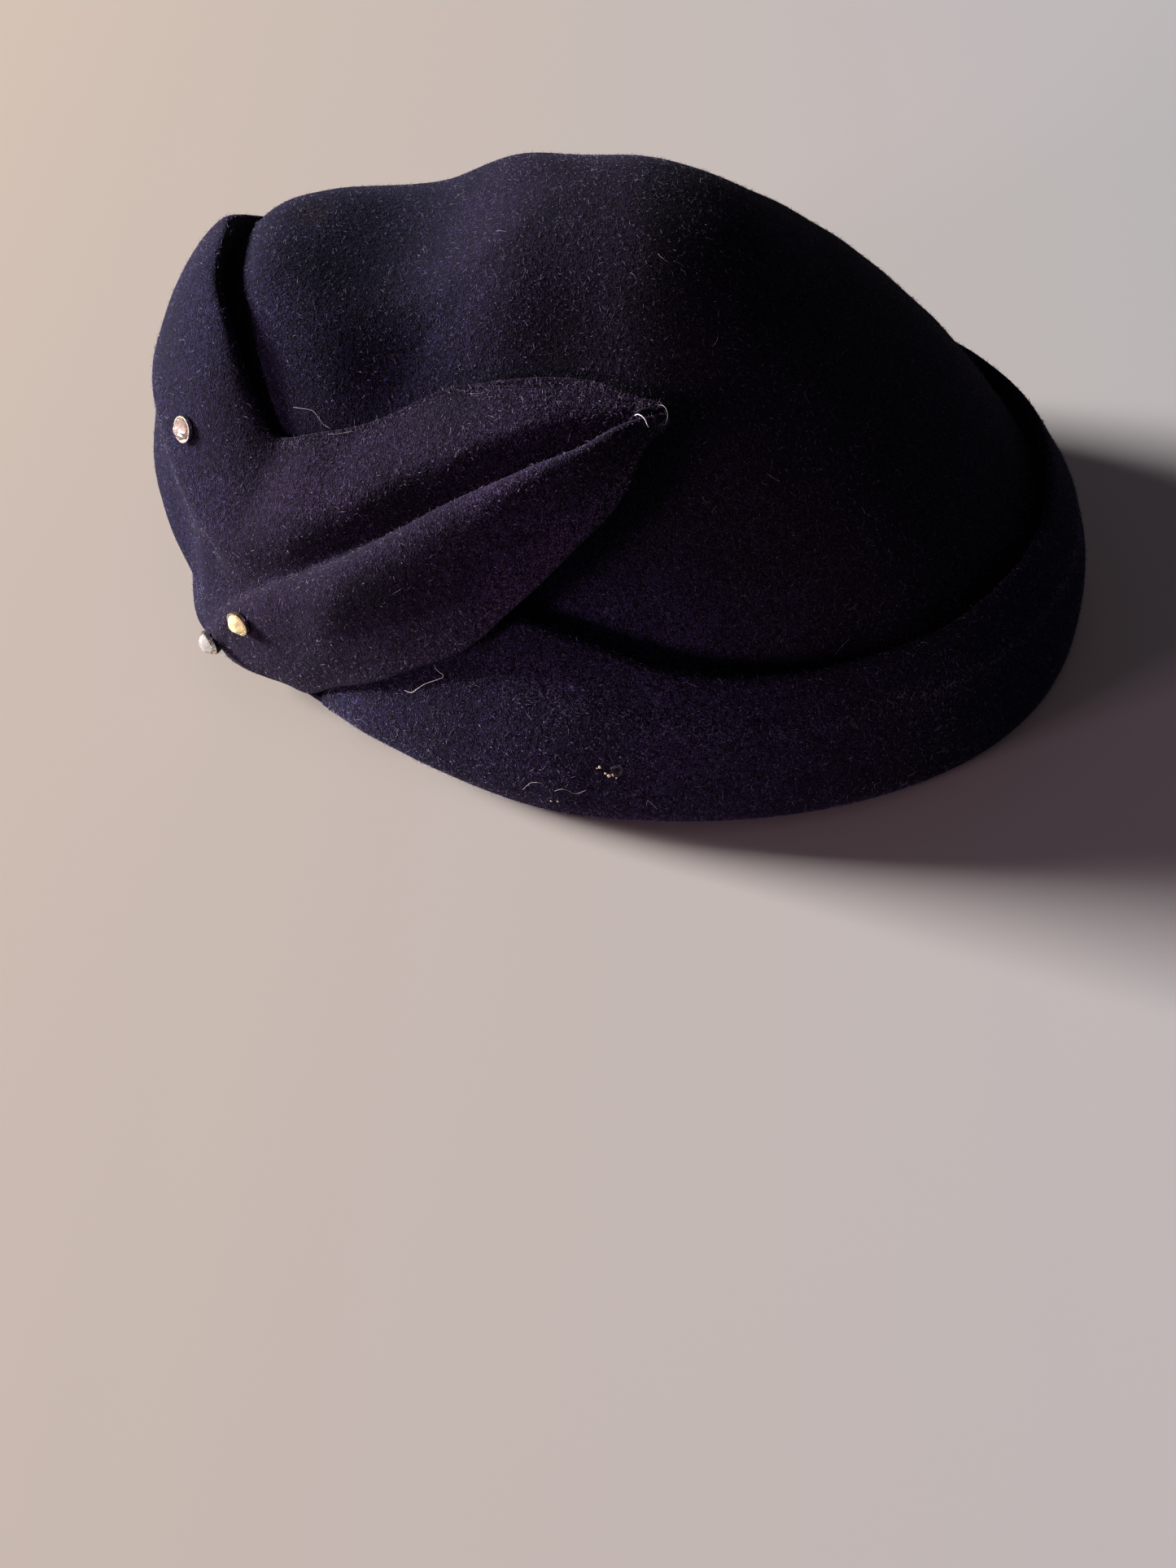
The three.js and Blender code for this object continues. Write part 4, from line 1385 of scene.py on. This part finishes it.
@dataclass
class Hat:
    """The whole hat: builds each piece, dresses it and hangs it on the frame."""

    form: HatForm
    origin: Array

    def put(self, name: str, skin: Skin, material: bpy.types.Material, nodes: Sequence[str] = ()) -> None:
        """Make a piece, hang it on the frame with the solids that it stands for, and report it."""
        piece = skin.made(name, material, self.origin)
        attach(piece, BODY)
        if nodes:
            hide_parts(*nodes)
        log.info("%s: %d faces", piece.name, len(piece.data.polygons))

    def build(self) -> None:
        """Build the felt, its nap, the threads and the marks, and dress the stones."""
        form = self.form
        nap = nap_group()
        felt = FeltFinish("aubergine_felt", nap).material()
        # The crown's felt and pile get darker colours than the brim's: painted shade over the crown
        dark = FeltFinish("crown_felt", nap, (0.0470, 0.0290, 0.0720)).material()
        deep, pale = (0.014, 0.011, 0.026), (0.200, 0.180, 0.380)
        crown_pile = StrandFinish("crown_pile", deep, pale, (0.170, 0.110, 0.215)).material()
        pile = StrandFinish("brim_pile", deep, pale, (0.280, 0.185, 0.340)).material()
        lint = StrandFinish("pale_lint", (0.10, 0.09, 0.12), (0.42, 0.40, 0.42)).material()
        cotton = StrandFinish("pale_thread", (0.16, 0.14, 0.14), (0.60, 0.57, 0.55)).material()
        # Near-black finish of the lost stone's pit: painted shade of the hollow
        torn = StrandFinish("pit_painted_shade", (0.0012, 0.0010, 0.0018), (0.010, 0.008, 0.014)).material()
        glue = StrandFinish("old_glue", (0.20, 0.16, 0.09), (0.62, 0.55, 0.38), roughness=0.35).material()
        self.put("crown_felt", Crown(form).skin(), dark, ["crown"])
        self.put("brim_felt", Brim(form).skin(), felt, ["brim"])
        self.put("crown_nap", Nap(form).crown(), crown_pile)
        self.put("brim_nap", Nap(form).brim(), pile)
        self.put("lint", Lint(form).skin(), lint)
        self.put("threads", Threads(form).skin(), cotton)
        self.put("tip_knot", TipKnot(form).skin(), felt)
        self.put("lost_stone_pit", LostStone(form).pit(), torn)
        self.put("glue_crumbs", LostStone(form).crumbs(), glue)
        self.stones()

    def stones(self) -> None:
        """Dress the solids of the stones and their cups."""
        silver = FoilFinish("silver_foil").material()
        gold = FoilFinish("champagne_foil", (0.88, 0.78, 0.58), (0.5, 0.38, 0.2)).material()
        clear = StoneFinish("clear_stone").material()
        champagne = StoneFinish("champagne_stone", (0.97, 0.88, 0.60), 0.7).material()
        grey = StoneFinish("grey_stone", (0.74, 0.74, 0.72), 0.8).material()
        settings = (("front", silver, clear), ("pleat", gold, champagne), ("tip", silver, grey))
        for name, foil, stone in settings:
            for node, finish in ((f"cup_{name}", foil), (f"stone_{name}", stone)):
                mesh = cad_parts[node].data
                mesh.materials.clear()
                mesh.materials.append(finish)


# Camera, floor and light


@dataclass(frozen=True)
class Viewpoint:
    """The photograph's viewpoint: where the camera stands, and the pixel at which it sees the origin."""

    elevation: float = 37.0
    distance: float = 563.0
    roll: float = 2.0
    pixel: tuple[float, float] = (776.0, 715.0)
    focal_pixels: float = 2896.0
    width: int = 1445
    height: int = 1927
    sensor: float = 36.0

    def make(self, origin: Array) -> bpy.types.Object:
        """Make the scene's camera.

        It stands on the wearer's left, looks at the origin, is rolled, and then turned so that the origin
        falls on its pixel.

        Args:
            origin: the form's origin in the frame, in metres.

        Returns:
            The camera.
        """
        tilt, roll = math.radians(self.elevation), math.radians(self.roll)
        away = np.array([math.cos(tilt), 0, math.sin(tilt)])
        ahead = -away
        right = unit(np.cross(ahead, [0, 0, 1]))
        up = np.cross(right, ahead)
        turned = math.cos(roll) * right + math.sin(roll) * up
        up = math.cos(roll) * up - math.sin(roll) * right
        right = turned
        x = (self.pixel[0] - self.width / 2) / self.focal_pixels
        y = -(self.pixel[1] - self.height / 2) / self.focal_pixels
        yaw, pitch = math.atan(x), math.atan2(y, math.hypot(1, x))
        turned = math.cos(yaw) * ahead - math.sin(yaw) * right
        right = math.cos(yaw) * right + math.sin(yaw) * ahead
        ahead = math.cos(pitch) * turned - math.sin(pitch) * up
        up = math.cos(pitch) * up + math.sin(pitch) * turned
        data = bpy.data.cameras.new("photo_view")
        data.sensor_width = self.sensor
        data.lens = self.focal_pixels * self.sensor / self.height
        data.clip_start, data.clip_end = 0.02, 20
        camera = bpy.data.objects.new("photo_view", data)
        turn = Matrix((right, up, -ahead)).transposed().to_4x4()
        camera.matrix_world = Matrix.Translation(Vector(origin + away * self.distance * MM)) @ turn
        bpy.context.scene.collection.objects.link(camera)
        bpy.context.scene.camera = camera
        return camera


@dataclass(frozen=True)
class SoftLight:
    """A square light panel that faces the hat."""

    name: str
    place: tuple[float, float, float]
    size: float
    watts: float
    colour: Colour
    target: tuple[float, float, float] = (0, 0, 0.05)

    def make(self) -> bpy.types.Object:
        """Make the light."""
        data = bpy.data.lights.new(self.name, "AREA")
        data.shape, data.size, data.energy, data.color = "SQUARE", self.size, self.watts, self.colour
        light = bpy.data.objects.new(self.name, data)
        place = Vector(self.place)
        turn = (Vector(self.target) - place).to_track_quat("-Z", "Y").to_matrix().to_4x4()
        light.matrix_world = Matrix.Translation(place) @ turn
        bpy.context.scene.collection.objects.link(light)
        return light


@dataclass(frozen=True)
class Studio:
    """The floor and the lights."""

    half_width: float = 6.0
    sky: Colour = (0.75, 0.85, 1.0)
    sky_strength: float = 0.07

    def make(self) -> None:
        """Make the floor, the lights and the faint light from all round."""
        x = self.half_width
        corners = np.array([[-x, -x, 0], [x, -x, 0], [x, x, 0], [-x, x, 0]]) / MM
        board = FloorFinish("pale_floor").material()
        floor = Skin(corners, [np.array([[0, 1, 2, 3]])]).made("floor", board, np.zeros(3))
        SoftLight("window", (-0.50, -2.85, 0.78), 0.85, 380.0, (1.0, 0.99, 0.98)).make()
        SoftLight("room", (0.9, 0.2, 1.7), 1.2, 2.2, (1.0, 0.62, 0.60)).make()
        SoftLight("near_fill", (1.38, -1.60, 0.20), 0.45, 34.0, (1.0, 0.68, 0.86)).make()
        SoftLight("cool_fill", (0.9, 1.6, 0.2), 0.8, 1.0, (0.35, 0.5, 1.0)).make()
        world = bpy.data.worlds.new("studio")
        world.use_nodes = True
        background = world.node_tree.nodes["Background"].inputs
        background["Color"].default_value = (*self.sky, 1)
        background["Strength"].default_value = self.sky_strength
        bpy.context.scene.world = world


def main() -> None:
    """Build the hat and its studio round the middle of the crown's solid, and set the view's colours."""
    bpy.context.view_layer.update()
    low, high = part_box("crown")
    origin = np.array([(low.x + high.x) / 2, (low.y + high.y) / 2, 0.0])
    Viewpoint().make(origin)
    Hat(HatForm(), origin).build()
    Studio().make()
    bpy.context.scene.view_settings.view_transform = "Standard"
    bpy.context.scene.view_settings.look = "Medium High Contrast"


if __name__ == "__main__":
    main()
